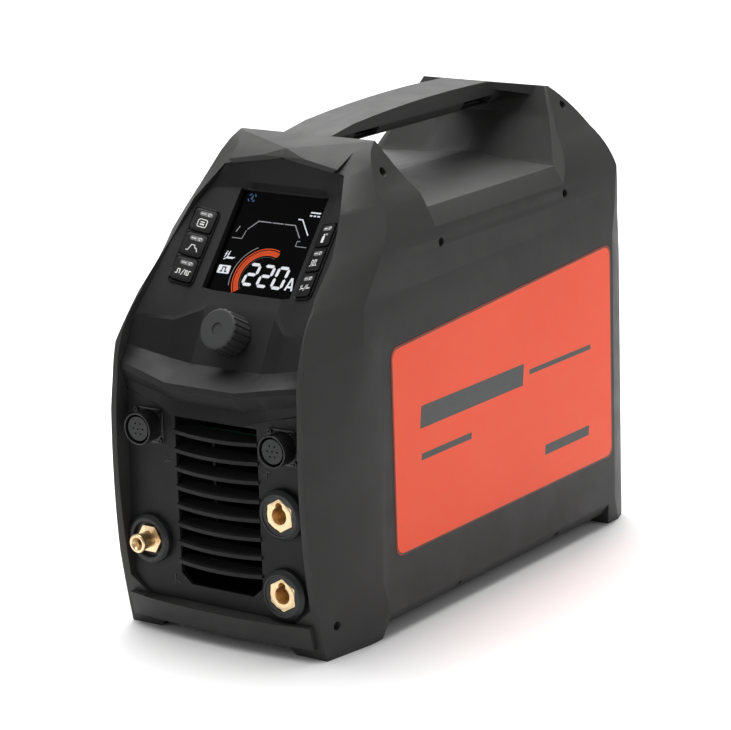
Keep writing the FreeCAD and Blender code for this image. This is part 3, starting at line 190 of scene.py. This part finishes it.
def display_glass():
    """Black cover window with a trace of finger marks."""
    g = Graph("display_glass")
    marks = g.spread(g.noise(70, 6), 0.05, 0.13, 0.45, 0.7)
    base = g.blend(g.noise(25, 2), (0.0008, 0.0008, 0.001), (0.0014, 0.0014, 0.0016))
    return g.finish(Base_Color=base, Roughness=marks, Specular_IOR_Level=0.07,
                    Normal=g.relief(g.noise(12, 1), 0.0001, 0.1))


def metal(name, colour, rough, stretch=(400, 400, 400), depth=0.00002, spot=0.85):
    """Machined or rolled metal; its fine tool marks run across the direction of the largest stretch."""
    g = Graph(name)
    marks = g.noise(1.0, 3, g.stretched(stretch))
    cloud = g.spread(g.noise(90, 4), 0, 1)
    base = g.blend(cloud, shade(colour, spot), colour)
    return g.finish(Base_Color=base, Metallic=1.0, Roughness=g.spread(marks, rough - 0.06, rough + 0.08),
                    Normal=g.relief(marks, depth, 0.6))


def brass():
    return metal("brass", (0.91, 0.69, 0.42), 0.3, (500, 9000, 500))


def steel():
    return metal("steel", (0.56, 0.56, 0.56), 0.36, (300, 4000, 4000))


def aluminium():
    return metal("aluminium", (0.78, 0.78, 0.79), 0.32, (5000, 200, 5000))


def copper():
    return metal("copper", (0.80, 0.40, 0.25), 0.3, (2500, 2500, 2500))


def black_metal():
    """Black anodised shell: dark, smooth and a little glossy."""
    g = Graph("black_metal")
    turned = g.noise(1.0, 2, g.stretched((3000, 12000, 3000)))
    base = g.blend(g.noise(900, 2), (0.007, 0.007, 0.0075), (0.010, 0.010, 0.0105))
    return g.finish(Base_Color=base, Roughness=g.spread(turned, 0.24, 0.32), Specular_IOR_Level=0.4,
                    Normal=g.relief(turned, 0.000006, 0.4))


def black_steel():
    """Black-oxide steel, with a little metal showing through."""
    g = Graph("black_steel")
    base = g.blend(g.noise(700, 3), (0.014, 0.014, 0.014), (0.032, 0.032, 0.033))
    return g.finish(Base_Color=base, Metallic=0.7, Roughness=g.spread(g.noise(900, 3), 0.26, 0.42),
                    Normal=g.relief(g.noise(2500, 2), 0.00002))


def board():
    """Circuit board: green solder mask over darker copper tracks."""
    g = Graph("board")
    tracks = g.add("ShaderNodeTexBrick", {
        "Vector": g.place, "Scale": 60.0, "Mortar Size": 0.03, "Color1": (0.0, 0.0, 0.0, 1),
        "Color2": (0.25, 0.25, 0.25, 1), "Mortar": (1, 1, 1, 1)})
    base = g.blend(tracks.outputs["Color"], (0.010, 0.060, 0.026), (0.026, 0.120, 0.050))
    return g.finish(Base_Color=base, Roughness=g.spread(g.noise(300, 3), 0.28, 0.4),
                    Normal=g.relief(tracks.outputs["Fac"], 0.00006))


MAKERS = [shell_plastic, panel_plastic, knob_plastic, key_plastic, label_film, display_glass, socket_plastic,
          black_metal, brass, steel, black_steel, fan_plastic, board, aluminium, ferrite, copper,
          capacitor_sleeve, epoxy, hose_rubber]
MATERIALS = {maker.__name__: maker() for maker in MAKERS}
# The posts inside get the black-oxide steel material in place of their recorded one as painted shade, so they
# stay dark behind the louvres; bright ones glint through the louvres.
PAINTED_SHADE_SWAP = {"board_standoffs": "black_steel"}

for part in frame["record"]["subparts"]:
    mesh = NODES[part["node"]].data
    mesh.materials.clear()
    # painted shade: the board posts take a darker material than the one recorded for them
    mesh.materials.append(MATERIALS[PAINTED_SHADE_SWAP.get(part["node"], part["material_slot"])])


def lit(name, colour, strength):
    """Display segment that glows through the window, with the faint unevenness of its backlight."""
    g = Graph(name)
    patch = g.spread(g.noise(120, 2), 0, 1)
    glow = g.blend(patch, shade(colour, 0.88), colour)
    return g.finish(Base_Color=(0.01, 0.01, 0.01), Roughness=0.2, Emission_Color=glow,
                    Emission_Strength=strength)


def ink(name, colour, rough=0.5):
    """Pad-printed ink: slightly mottled, with a faint edge in its thickness."""
    g = Graph(name)
    base = g.blend(g.spread(g.noise(900, 3), 0, 1), shade(colour, 0.88), colour)
    return g.finish(Base_Color=base, Roughness=g.spread(g.noise(500, 2), rough - 0.05, rough + 0.05),
                    Normal=g.relief(g.noise(2000, 2), 0.00002, 0.5))


WHITE_SEGMENT = lit("white_segment", (0.93, 0.95, 1.0), 0.85)
DIM_SEGMENT = lit("dim_segment", (0.62, 0.63, 0.66), 0.45)
ORANGE_SEGMENT = lit("orange_segment", (0.95, 0.092, 0.004), 0.75)
BLUE_SEGMENT = lit("blue_segment", (0.08, 0.20, 0.42), 0.5)
WHITE_INK = ink("white_ink", (0.70, 0.70, 0.69))
GREY_INK = ink("grey_ink", (0.13, 0.13, 0.13))
DARK_INK = ink("dark_ink", (0.050, 0.055, 0.054))
BORDER_INK = ink("border_ink", (0.09, 0.035, 0.02))


# ---------------------------------------------------------------- softened edges on the CAD nodes

def soften(node, width, segments=2, angle=28, facets=0):
    """Rounds a node's sharp edges; with facets, flat sides that meet at more than that angle stay crisp."""
    obj = NODES[node]
    weld = obj.modifiers.new("weld", "WELD")
    weld.merge_threshold = 0.000005
    bevel = obj.modifiers.new("bevel", "BEVEL")
    bevel.width = width
    bevel.segments = segments
    bevel.limit_method = "ANGLE"
    bevel.angle_limit = math.radians(angle)
    bevel.use_clamp_overlap = True
    bevel.harden_normals = not facets
    if facets:
        split = obj.modifiers.new("facets", "EDGE_SPLIT")
        split.use_edge_sharp = False
        split.split_angle = math.radians(facets)
    for polygon in obj.data.polygons:
        polygon.use_smooth = True


# ---------------------------------------------------------------- flat drawn pieces

class Sheet:
    """A plane to draw on: origin, across and up directions, and the outward normal."""

    def __init__(self, origin, across, up):
        self.origin = origin
        self.across = across.normalized()
        self.up = up.normalized()
        self.out = self.across.cross(self.up).normalized()

    def at(self, x, u, lift):
        return self.origin + self.across * (x * MM) + self.up * (u * MM) + self.out * (lift * MM)


def face_sheet(node):
    """The outer face of a flat sloping piece, found from its largest side that looks forward and up."""
    mesh = NODES[node].data

    def outward_area(polygon):
        return polygon.area if polygon.normal.y < -0.4 and polygon.normal.z > 0.1 else 0

    def height(polygon):
        return mesh.vertices[polygon.vertices[0]].co.dot(normal)

    normal = max(mesh.polygons, key=outward_area).normal.copy()
    parallel = [p for p in mesh.polygons if p.normal.dot(normal) > 0.999]
    level = max(height(p) for p in parallel)
    top = [p for p in parallel if height(p) > level - 1e-5]
    points = [mesh.vertices[i].co for p in top for i in p.vertices]
    low = Vector([min(p[i] for p in points) for i in range(3)])
    high = Vector([max(p[i] for p in points) for i in range(3)])
    centre = (low + high) / 2
    centre += normal * (level - centre.dot(normal))
    across = RIGHT - normal * normal.x
    upward = UP - normal * normal.z
    upward = (upward - across * upward.dot(across) / across.length_squared).normalized()
    return Sheet(centre, upward.cross(normal), upward)


def ribbon(points, width, closed=False):
    """Outlines of a line of the given width through the points, one quad per run, mitred."""
    points = [Vector(p) for p in points]
    count = len(points)
    sides = []
    for i, point in enumerate(points):
        before = points[i - 1] if (i or closed) else None
        after = points[(i + 1) % count] if (i < count - 1 or closed) else None
        into = (point - before).normalized() if before is not None else (after - point).normalized()
        onward = (after - point).normalized() if after is not None else into
        normal = Vector((-(into + onward).y, (into + onward).x))
        normal = normal.normalized() if normal.length > 1e-6 else Vector((-into.y, into.x))
        stretch = max(0.4, normal.dot(Vector((-into.y, into.x))))
        sides.append((point + normal * width / 2 / stretch, point - normal * width / 2 / stretch))
    runs = zip(sides, sides[1:] + (sides[:1] if closed else []))
    return [[a[0], b[0], b[1], a[1]] for a, b in runs]


def rectangle(x, u, width, height, corner=0.0):
    """Rectangle about (x, u), with round corners where a radius is given."""
    half_w, half_h = width / 2 - corner, height / 2 - corner
    outline = []
    for turn, (sx, su) in enumerate(((1, 1), (-1, 1), (-1, -1), (1, -1))):
        if not corner:
            outline.append((x + sx * half_w, u + su * half_h))
            continue
        for step in range(5):
            angle = math.radians(90 * turn + 22.5 * step)
            outline.append((x + sx * half_w + corner * math.cos(angle),
                            u + su * half_h + corner * math.sin(angle)))
    return outline


def disc(x, u, radius, start=0, sweep=360, steps=24):
    """Points round (x, u), over the whole circle or a sweep of it in degrees."""
    return [(x + radius * math.cos(math.radians(start + sweep * i / steps)),
             u + radius * math.sin(math.radians(start + sweep * i / steps))) for i in range(steps)]


def placed(shapes, x, u, scale=1.0, lean=0.0):
    """Shapes moved to (x, u), scaled, and leaned to the right like italics."""
    return [[(x + (p[0] + lean * p[1]) * scale, u + p[1] * scale) for p in shape] for shape in shapes]


def drawn(name, sheet, shapes, material, lift=0.05, thick=0.1, body="cabinet"):
    """One piece made of flat shapes that stand thick above the sheet."""
    build = bmesh.new()
    for shape in shapes:
        low = [build.verts.new(sheet.at(p[0], p[1], lift - thick)) for p in shape]
        high = [build.verts.new(sheet.at(p[0], p[1], lift)) for p in shape]
        build.faces.new(high)
        build.faces.new(low[::-1])
        for i in range(len(shape)):
            j = (i + 1) % len(shape)
            build.faces.new((low[i], low[j], high[j], high[i]))
    bmesh.ops.recalc_face_normals(build, faces=build.faces)
    mesh = bpy.data.meshes.new(name)
    build.to_mesh(mesh)
    build.free()
    mesh.materials.append(material)
    obj = bpy.data.objects.new(name, mesh)
    bpy.context.scene.collection.objects.link(obj)
    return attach(obj, body)


# ---------------------------------------------------------------- display figures

def seven_segments(lit_segments, width=11.2, height=19.0, bar=2.5, gap=0.35):
    """Chamfered segments of one digit, named a to g from the top clockwise with g across the middle."""
    half = height / 2
    reach = width / 2 - bar / 2
    lines = {
        "a": ((-reach, half - bar / 2), (reach, half - bar / 2)),
        "b": ((reach, half - bar / 2), (reach, 0)),
        "c": ((reach, 0), (reach, bar / 2 - half)),
        "d": ((-reach, bar / 2 - half), (reach, bar / 2 - half)),
        "e": ((-reach, 0), (-reach, bar / 2 - half)),
        "f": ((-reach, half - bar / 2), (-reach, 0)),
        "g": ((-reach, 0), (reach, 0)),
    }
    shapes = []
    for name in lit_segments:
        a, b = (Vector(end) for end in lines[name])
        along = (b - a).normalized()
        a, b = a + along * gap, b - along * gap
        side = Vector((-along.y, along.x)) * bar / 2
        shapes.append([a, a + along * bar / 2 + side, b - along * bar / 2 + side, b,
                       b - along * bar / 2 - side, a + along * bar / 2 - side])
    return shapes


DIGITS = {"0": "abcdef", "2": "abged"}


def letter_a(width=6.0, height=9.5, bar=1.5):
    """The unit behind the reading: two legs and a crossbar."""
    half = width / 2
    legs = ribbon([(-half, 0), (-half * 0.15, height), (half * 0.15, height), (half, 0)], bar)
    return legs + ribbon([(-half * 0.65, height * 0.3), (half * 0.65, height * 0.3)], bar)


def torch_symbol():
    """A welding torch: handle, neck, lead and two jagged sparks."""
    handle = ribbon([(-1.5, -0.6), (4.5, -0.6)], 1.6)
    neck = ribbon([(-1.5, -0.6), (-4.2, -2.4)], 0.9)
    lead = ribbon([(4.5, -0.6), (6.0, 0.2)], 0.8)
    sparks = []
    for x in (-3.4, -0.9):
        sparks += ribbon([(x + 0.9, 5.2), (x - 0.5, 2.4), (x + 0.5, 2.6), (x - 0.9, -0.4)], 0.7)
    return handle + neck + lead + sparks


def slope_symbol():
    """Current slope: up, hold, down."""
    return ribbon([(-5.5, -3), (-3.6, -3), (-1.6, 2.6), (1.2, 2.6), (2.2, 0), (3.6, 0), (5.0, -3.2)], 0.8)


def pulse_symbol():
    """Pulsed current: two square waves."""
    return ribbon([(-5.4, -2.6), (-3.6, -2.6), (-3.6, 2.6), (-1.4, 2.6), (-1.4, -2.6), (0.6, -2.6),
                   (0.6, 2.6), (2.8, 2.6), (2.8, -2.6), (4.8, -2.6)], 0.75)


def bottle_symbol():
    """Gas bottle with its valve and a puff of gas."""
    bottle = [rectangle(-0.6, -1.4, 3.4, 6.6, 1.2), rectangle(-0.6, 2.8, 1.4, 2.0)]
    puff = ribbon([(1.6, 2.2), (2.5, 4.0)], 0.6) + ribbon([(2.9, 2.2), (3.8, 4.0)], 0.6)
    return bottle + puff


def frame_symbol():
    """Store: a rounded frame round a small mark."""
    outline = rectangle(0, 0, 8.2, 7.2, 1.6)
    return ribbon(outline, 0.8, closed=True) + [rectangle(0, -1.1, 4.0, 1.4), rectangle(0, 1.1, 4.0, 1.0)]


def trigger_symbol():
    """Two switch sequences parted by a slash."""
    first = ribbon([(-6.6, -2), (-5.0, -2), (-5.0, 2), (-2.8, 2), (-2.8, -2)], 0.8)
    slash = ribbon([(-1.0, -3), (1.0, 3)], 0.6)
    second = ribbon([(2.2, -2), (2.2, 2), (3.8, 2), (3.8, -2), (5.4, -2), (5.4, 2), (7.0, 2)], 0.8)
    return first + slash + second


def torches_symbol():
    """Two small torches parted by a slash."""
    left = placed(torch_symbol(), -3.6, 0, 0.6)
    right = placed(torch_symbol(), 4.2, 0, 0.6)
    return left + ribbon([(-0.8, -3), (0.8, 3)], 0.5) + right


# Places on the display are millimetres from its middle, and angles are degrees.
DISPLAY = face_sheet("display_window")
FIRST_DIGIT = (-4.6, -25.0)
DIGIT_STEP = 13.2
ITALIC = 0.1
GAUGE_CENTRE = (4.8, -27.5)
GAUGE_START = 214
GAUGE_SWEEP = -146
GAUGE_BLOCKS = 54
GAUGE_INNER = 19.6
GAUGE_OUTER = 23.4
TICK_RADIUS = 17.9
SIGN_X = -31.0


def display_digits():
    """The current that is set, and its unit."""
    shapes = []
    for place, figure in enumerate("220"):
        digit = seven_segments(DIGITS[figure])
        shapes += placed(digit, FIRST_DIGIT[0] + DIGIT_STEP * place, FIRST_DIGIT[1], lean=ITALIC)
    shapes += placed(letter_a(), 32.6, -34.0)
    drawn("display_digits", DISPLAY, shapes, WHITE_SEGMENT)


def gauge_line(radius, width):
    """An arc as long as the gauge, as a line of the given width."""
    return ribbon(disc(*GAUGE_CENTRE, radius, GAUGE_START, GAUGE_SWEEP, 40), width)


def display_gauge():
    """Lit part of the round gauge: narrow blocks, a line along each edge, and ticks inside."""
    centre = Vector(GAUGE_CENTRE)
    blocks = []
    for i in range(GAUGE_BLOCKS):
        first, last = (math.radians(GAUGE_START + GAUGE_SWEEP * (i + k) / GAUGE_BLOCKS) for k in (0.12, 0.88))
        corners = ((GAUGE_INNER, first), (GAUGE_OUTER, first), (GAUGE_OUTER, last), (GAUGE_INNER, last))
        blocks.append([(centre.x + r * math.cos(t), centre.y + r * math.sin(t)) for r, t in corners])
    edges = gauge_line(GAUGE_OUTER + 1.2, 0.7) + gauge_line(GAUGE_INNER - 0.2, 0.6)
    drawn("display_gauge", DISPLAY, blocks + edges, ORANGE_SEGMENT)

    ticks = []
    for point in disc(*GAUGE_CENTRE, TICK_RADIUS, GAUGE_START, GAUGE_SWEEP, 40):
        ticks += ribbon([centre + (Vector(point) - centre) * 0.985, point], 0.35)
    outside = ribbon(disc(*GAUGE_CENTRE, 27.4, 198, -84, 30), 0.5)
    drawn("display_ticks", DISPLAY, ticks + outside, DIM_SEGMENT)


def display_curve():
    """Current against time: start, upslope, hold, downslope and end, each a line of its own."""
    shapes = ribbon([(-34.9, 2.7), (-25.8, 2.7), (-24.6, 9.7)], 0.55)
    shapes += ribbon([(-24.0, 10.6), (-16.6, 18.2), (-4.8, 18.2)], 0.75)
    shapes += ribbon([(-3.8, 18.2), (6.4, 18.2)], 0.75)
    shapes += ribbon([(7.4, 18.2), (17.2, 18.2), (25.0, 8.6)], 0.75)
    shapes += ribbon([(24.2, 1.6), (24.2, 5.8), (27.0, 5.8)], 0.5)
    shapes += ribbon([(24.2, 1.6), (34.0, 1.6)], 0.5)
    shapes += ribbon([(-33.4, 7.8), (-31.6, 12.6)], 0.8)
    drawn("display_curve", DISPLAY, shapes, DIM_SEGMENT)


def display_signs():
    """Direct-current sign with its slope, torch sign, trigger mode on a lit plate, and status mark."""
    shapes = ribbon([(17.6, 23.4), (21.6, 23.4), (31.4, 11.4)], 0.9)
    shapes.append(rectangle(31.0, 30.0, 9.0, 1.1))
    shapes += [rectangle(31.0 + step, 27.4, 2.2, 1.1) for step in (-3.4, 0, 3.4)]
    shapes += placed(torch_symbol(), SIGN_X, -13.3, 0.95)
    drawn("display_signs", DISPLAY, shapes, WHITE_SEGMENT)

    drawn("display_mode", DISPLAY, [rectangle(SIGN_X, -23.6, 11.0, 6.8, 0.8)], WHITE_SEGMENT)
    step_line = ribbon([(-3.2, -1.8), (-1.4, -1.8), (-1.4, 1.8), (1.4, 1.8), (1.4, -1.8), (3.2, -1.8)], 1.0)
    drawn("display_mode_sign", DISPLAY, placed(step_line, SIGN_X, -23.6), MATERIALS["display_glass"], 0.08)

    status = []
    for quarter in range(4):
        status += ribbon(disc(SIGN_X, 36.6, 3.4, 20 + 90 * quarter, 50, 6), 0.8)
    status += ribbon([(-31.9, 35.6), (-30.6, 38.4), (-30.6, 34.6)], 0.8)
    drawn("display_status", DISPLAY, status, BLUE_SEGMENT)


display_digits()
display_gauge()
display_curve()
display_signs()


# ---------------------------------------------------------------- key symbols

SYMBOLS = {
    "key_left_1": frame_symbol, "key_left_2": slope_symbol, "key_left_3": trigger_symbol,
    "key_right_1": bottle_symbol, "key_right_2": pulse_symbol, "key_right_3": torches_symbol,
}
TAB_HEIGHT = 5.4


def key_print(key, symbol):
    """A key's white symbol, with a grey tab above it that holds a small hint."""
    sheet = face_sheet(key)
    body = key + "_cap"
    drawn(key + "_symbol", sheet, placed(symbol(), 0, -2.2, 0.86), WHITE_INK, body=body)
    drawn(key + "_tab", sheet, [rectangle(0.6, TAB_HEIGHT, 10.5, 3.4, 1.6)], GREY_INK, 0.04, body=body)
    hint = [rectangle(-2.9 + 1.3 * i, TAB_HEIGHT, 0.9, 0.9) for i in range(3)]
    hint += ribbon(disc(3.4, TAB_HEIGHT, 1.1, 0, 300, 10), 0.5)
    drawn(key + "_hint", sheet, hint, WHITE_INK, 0.06, body=body)


for key, symbol in SYMBOLS.items():
    key_print(key, symbol)


# ---------------------------------------------------------------- side labels

# Each stripe on a label, in millimetres from its centre: start, end, height of its middle, thickness.
STRIPES = ((-119, 22, 10.5, 17), (31, 122, 10.5, 4), (-119, -52, -20, 5), (52, 118, -58, 8))
SLANT = 0.12


def stripe(start, end, u, tall):
    """A plain stripe with slanted ends, from start to end."""
    width = end - start
    return placed([rectangle(width / 2, 0, width, tall)], start, u, lean=SLANT)


def label_outline(node, side, centre):
    """The label's outline in millimetres from its centre, as its front is seen."""
    low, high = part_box(node)
    spots = {}
    for vertex in NODES[node].data.vertices:
        p = vertex.co
        spots[(round(p.y, 5), round(p.z, 5))] = ((p.y - centre.y) * side / MM, (p.z - centre.z) / MM)
    return sorted(spots.values(), key=lambda p: math.atan2(p[1] / (high.z - low.z), p[0] / (high.y - low.y)))


def label_print(word, side):
    """Thin border, and plain stripes where the machine has lettering."""
    node = "label_" + word
    low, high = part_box(node)
    face = high.x if side > 0 else low.x
    centre = Vector((face, (low.y + high.y) / 2, (low.z + high.z) / 2))
    sheet = Sheet(centre, Vector((0, side, 0)), UP)
    inset = 0.7
    border = [(p[0] - math.copysign(inset, p[0]), p[1] - math.copysign(inset, p[1]))
              for p in label_outline(node, side, centre)]
    drawn(node + "_border", sheet, ribbon(border, 1.3, closed=True), BORDER_INK, 0.05)

    stripes = [shape for sizes in STRIPES for shape in stripe(*sizes)]
    drawn(node + "_stripes", sheet, stripes, DARK_INK, 0.06)


label_print("right", 1)
label_print("left", -1)


# ---------------------------------------------------------------- edge widths, in metres

for name in ("right_shell", "left_shell"):
    soften(name, 0.0010, 3, 20, facets=15)
soften("front_panel", 0.0008, 3, 16, facets=12)
for name in SYMBOLS:
    soften(name, 0.0008, 3)
for name in ("keypad_left", "keypad_right"):
    soften(name, 0.0005, 2)
for word in ("upper", "lower"):
    soften("weld_socket_flange_" + word, 0.0004, 2)
    soften("weld_socket_insert_" + word, 0.00035, 2)
for name in ("gas_outlet_flange", "gas_outlet_nipple", "gas_inlet_nipple", "mains_cable_gland",
             "remote_socket_left", "remote_socket_right", "power_switch_case", "power_switch_rocker",
             "rear_panel", "fan_frame", "fan_rotor"):
    soften(name, 0.0003, 2)


# ---------------------------------------------------------------- moulded signs on the panel

SOCKET_STANDS_OUT = 0.015
PANEL_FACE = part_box("remote_socket_left")[0].y + SOCKET_STANDS_OUT


def panel_sign(name, near, across, up, shapes):
    """A sign that stands out from the panel, placed in millimetres from the middle of a node."""
    anchor = middle(near)
    sheet = Sheet(Vector((anchor.x + across * MM, PANEL_FACE, anchor.z + up * MM)), RIGHT, UP)
    drawn(name, sheet, shapes, MATERIALS["socket_plastic"], lift=0.45, thick=0.6)


panel_sign("sign_torch", "remote_socket_left", 16, -25, placed(torch_symbol(), 0, 0, 0.8))
panel_sign("sign_remote", "remote_socket_right", -16.5, -23,
           ribbon([(-3.5, 0), (0.5, 0), (0.5, 2.4), (3.8, 2.4)], 1.0) + ribbon([(0.5, 0), (0.5, -2.4)], 1.0))
panel_sign("sign_minus", "weld_socket_flange_upper", -20.5, -22, ribbon([(-2, 0), (2, 0)], 1.0))
panel_sign("sign_gas", "gas_outlet_flange", 24, -29,
           ribbon([(-3.4, 3.4), (-3.4, -3.4)], 1.0) + ribbon([(-3.4, 0), (2.4, -3.4)], 1.0))


# ---------------------------------------------------------------- camera, floor and light

def camera():
    """Views the front and right side from above, rolled a little, with a long lens."""
    azimuth, elevation, roll = (math.radians(a) for a in (35.8578, 14.5507, -1.8354))
    distance, aside, above, shift_back = 2.3932, -0.0139413, 0.158477, 0.008
    focal_per_width = 3000 / 731
    back = Vector((math.sin(azimuth) * math.cos(elevation), -math.cos(azimuth) * math.cos(elevation),
                   math.sin(elevation)))
    level = Vector((math.cos(azimuth), math.sin(azimuth), 0))
    rise = back.cross(level)
    right = level * math.cos(roll) + rise * math.sin(roll)
    up = rise * math.cos(roll) - level * math.sin(roll)
    data = bpy.data.cameras.new("camera")
    data.sensor_width = 36
    data.lens = data.sensor_width * focal_per_width
    data.clip_end = 50
    obj = bpy.data.objects.new("camera", data)
    turn = Matrix((right, up, back)).transposed().to_4x4()
    place = back * distance + level * aside + rise * above + Vector((0, shift_back, 0))
    obj.matrix_world = Matrix.Translation(place) @ turn
    bpy.context.scene.collection.objects.link(obj)
    bpy.context.scene.camera = obj


def floor():
    mesh = bpy.data.meshes.new("floor")
    reach = 6
    corners = [(sx * reach, sy * reach, 0) for sx, sy in ((-1, -1), (1, -1), (1, 1), (-1, 1))]
    mesh.from_pydata(corners, [], [(0, 1, 2, 3)])
    g = Graph("floor")
    base = g.blend(g.noise(3, 2), (0.80, 0.80, 0.80), (0.83, 0.83, 0.83))
    mesh.materials.append(g.finish(Base_Color=base, Roughness=0.8))
    obj = bpy.data.objects.new("floor", mesh)
    bpy.context.scene.collection.objects.link(obj)


def area_light(name, place, target, size, power):
    data = bpy.data.lights.new(name, "AREA")
    data.shape = "RECTANGLE"
    data.size, data.size_y = size
    data.energy = power
    obj = bpy.data.objects.new(name, data)
    obj.location = place
    obj.rotation_euler = (Vector(target) - Vector(place)).to_track_quat("-Z", "Y").to_euler()
    bpy.context.scene.collection.objects.link(obj)


def lights():
    centre = (0, 0, 0.18)
    area_light("top", (-0.35, 0.2, 2.4), centre, (2.2, 2.2), 106)
    area_light("rear_high", (-0.3, 2.7, 2.1), centre, (1.6, 1.0), 4)
    area_light("far_floor", (-2.6, 3.8, 2.6), (-2.6, 3.8, 0), (4.5, 4.5), 170)
    area_light("right_side", (2.6, 0.8, 1.3), centre, (1.4, 1.4), 8)
    area_light("left_front", (-1.8, -2.4, 1.0), centre, (1.0, 1.4), 6)
    world = bpy.data.worlds.new("studio")
    world.use_nodes = True
    background = world.node_tree.nodes["Background"]
    background.inputs["Color"].default_value = (1, 1, 1, 1)
    background.inputs["Strength"].default_value = 0.32
    bpy.context.scene.world = world


camera()
floor()
lights()
bpy.context.scene.view_settings.view_transform = "Standard"
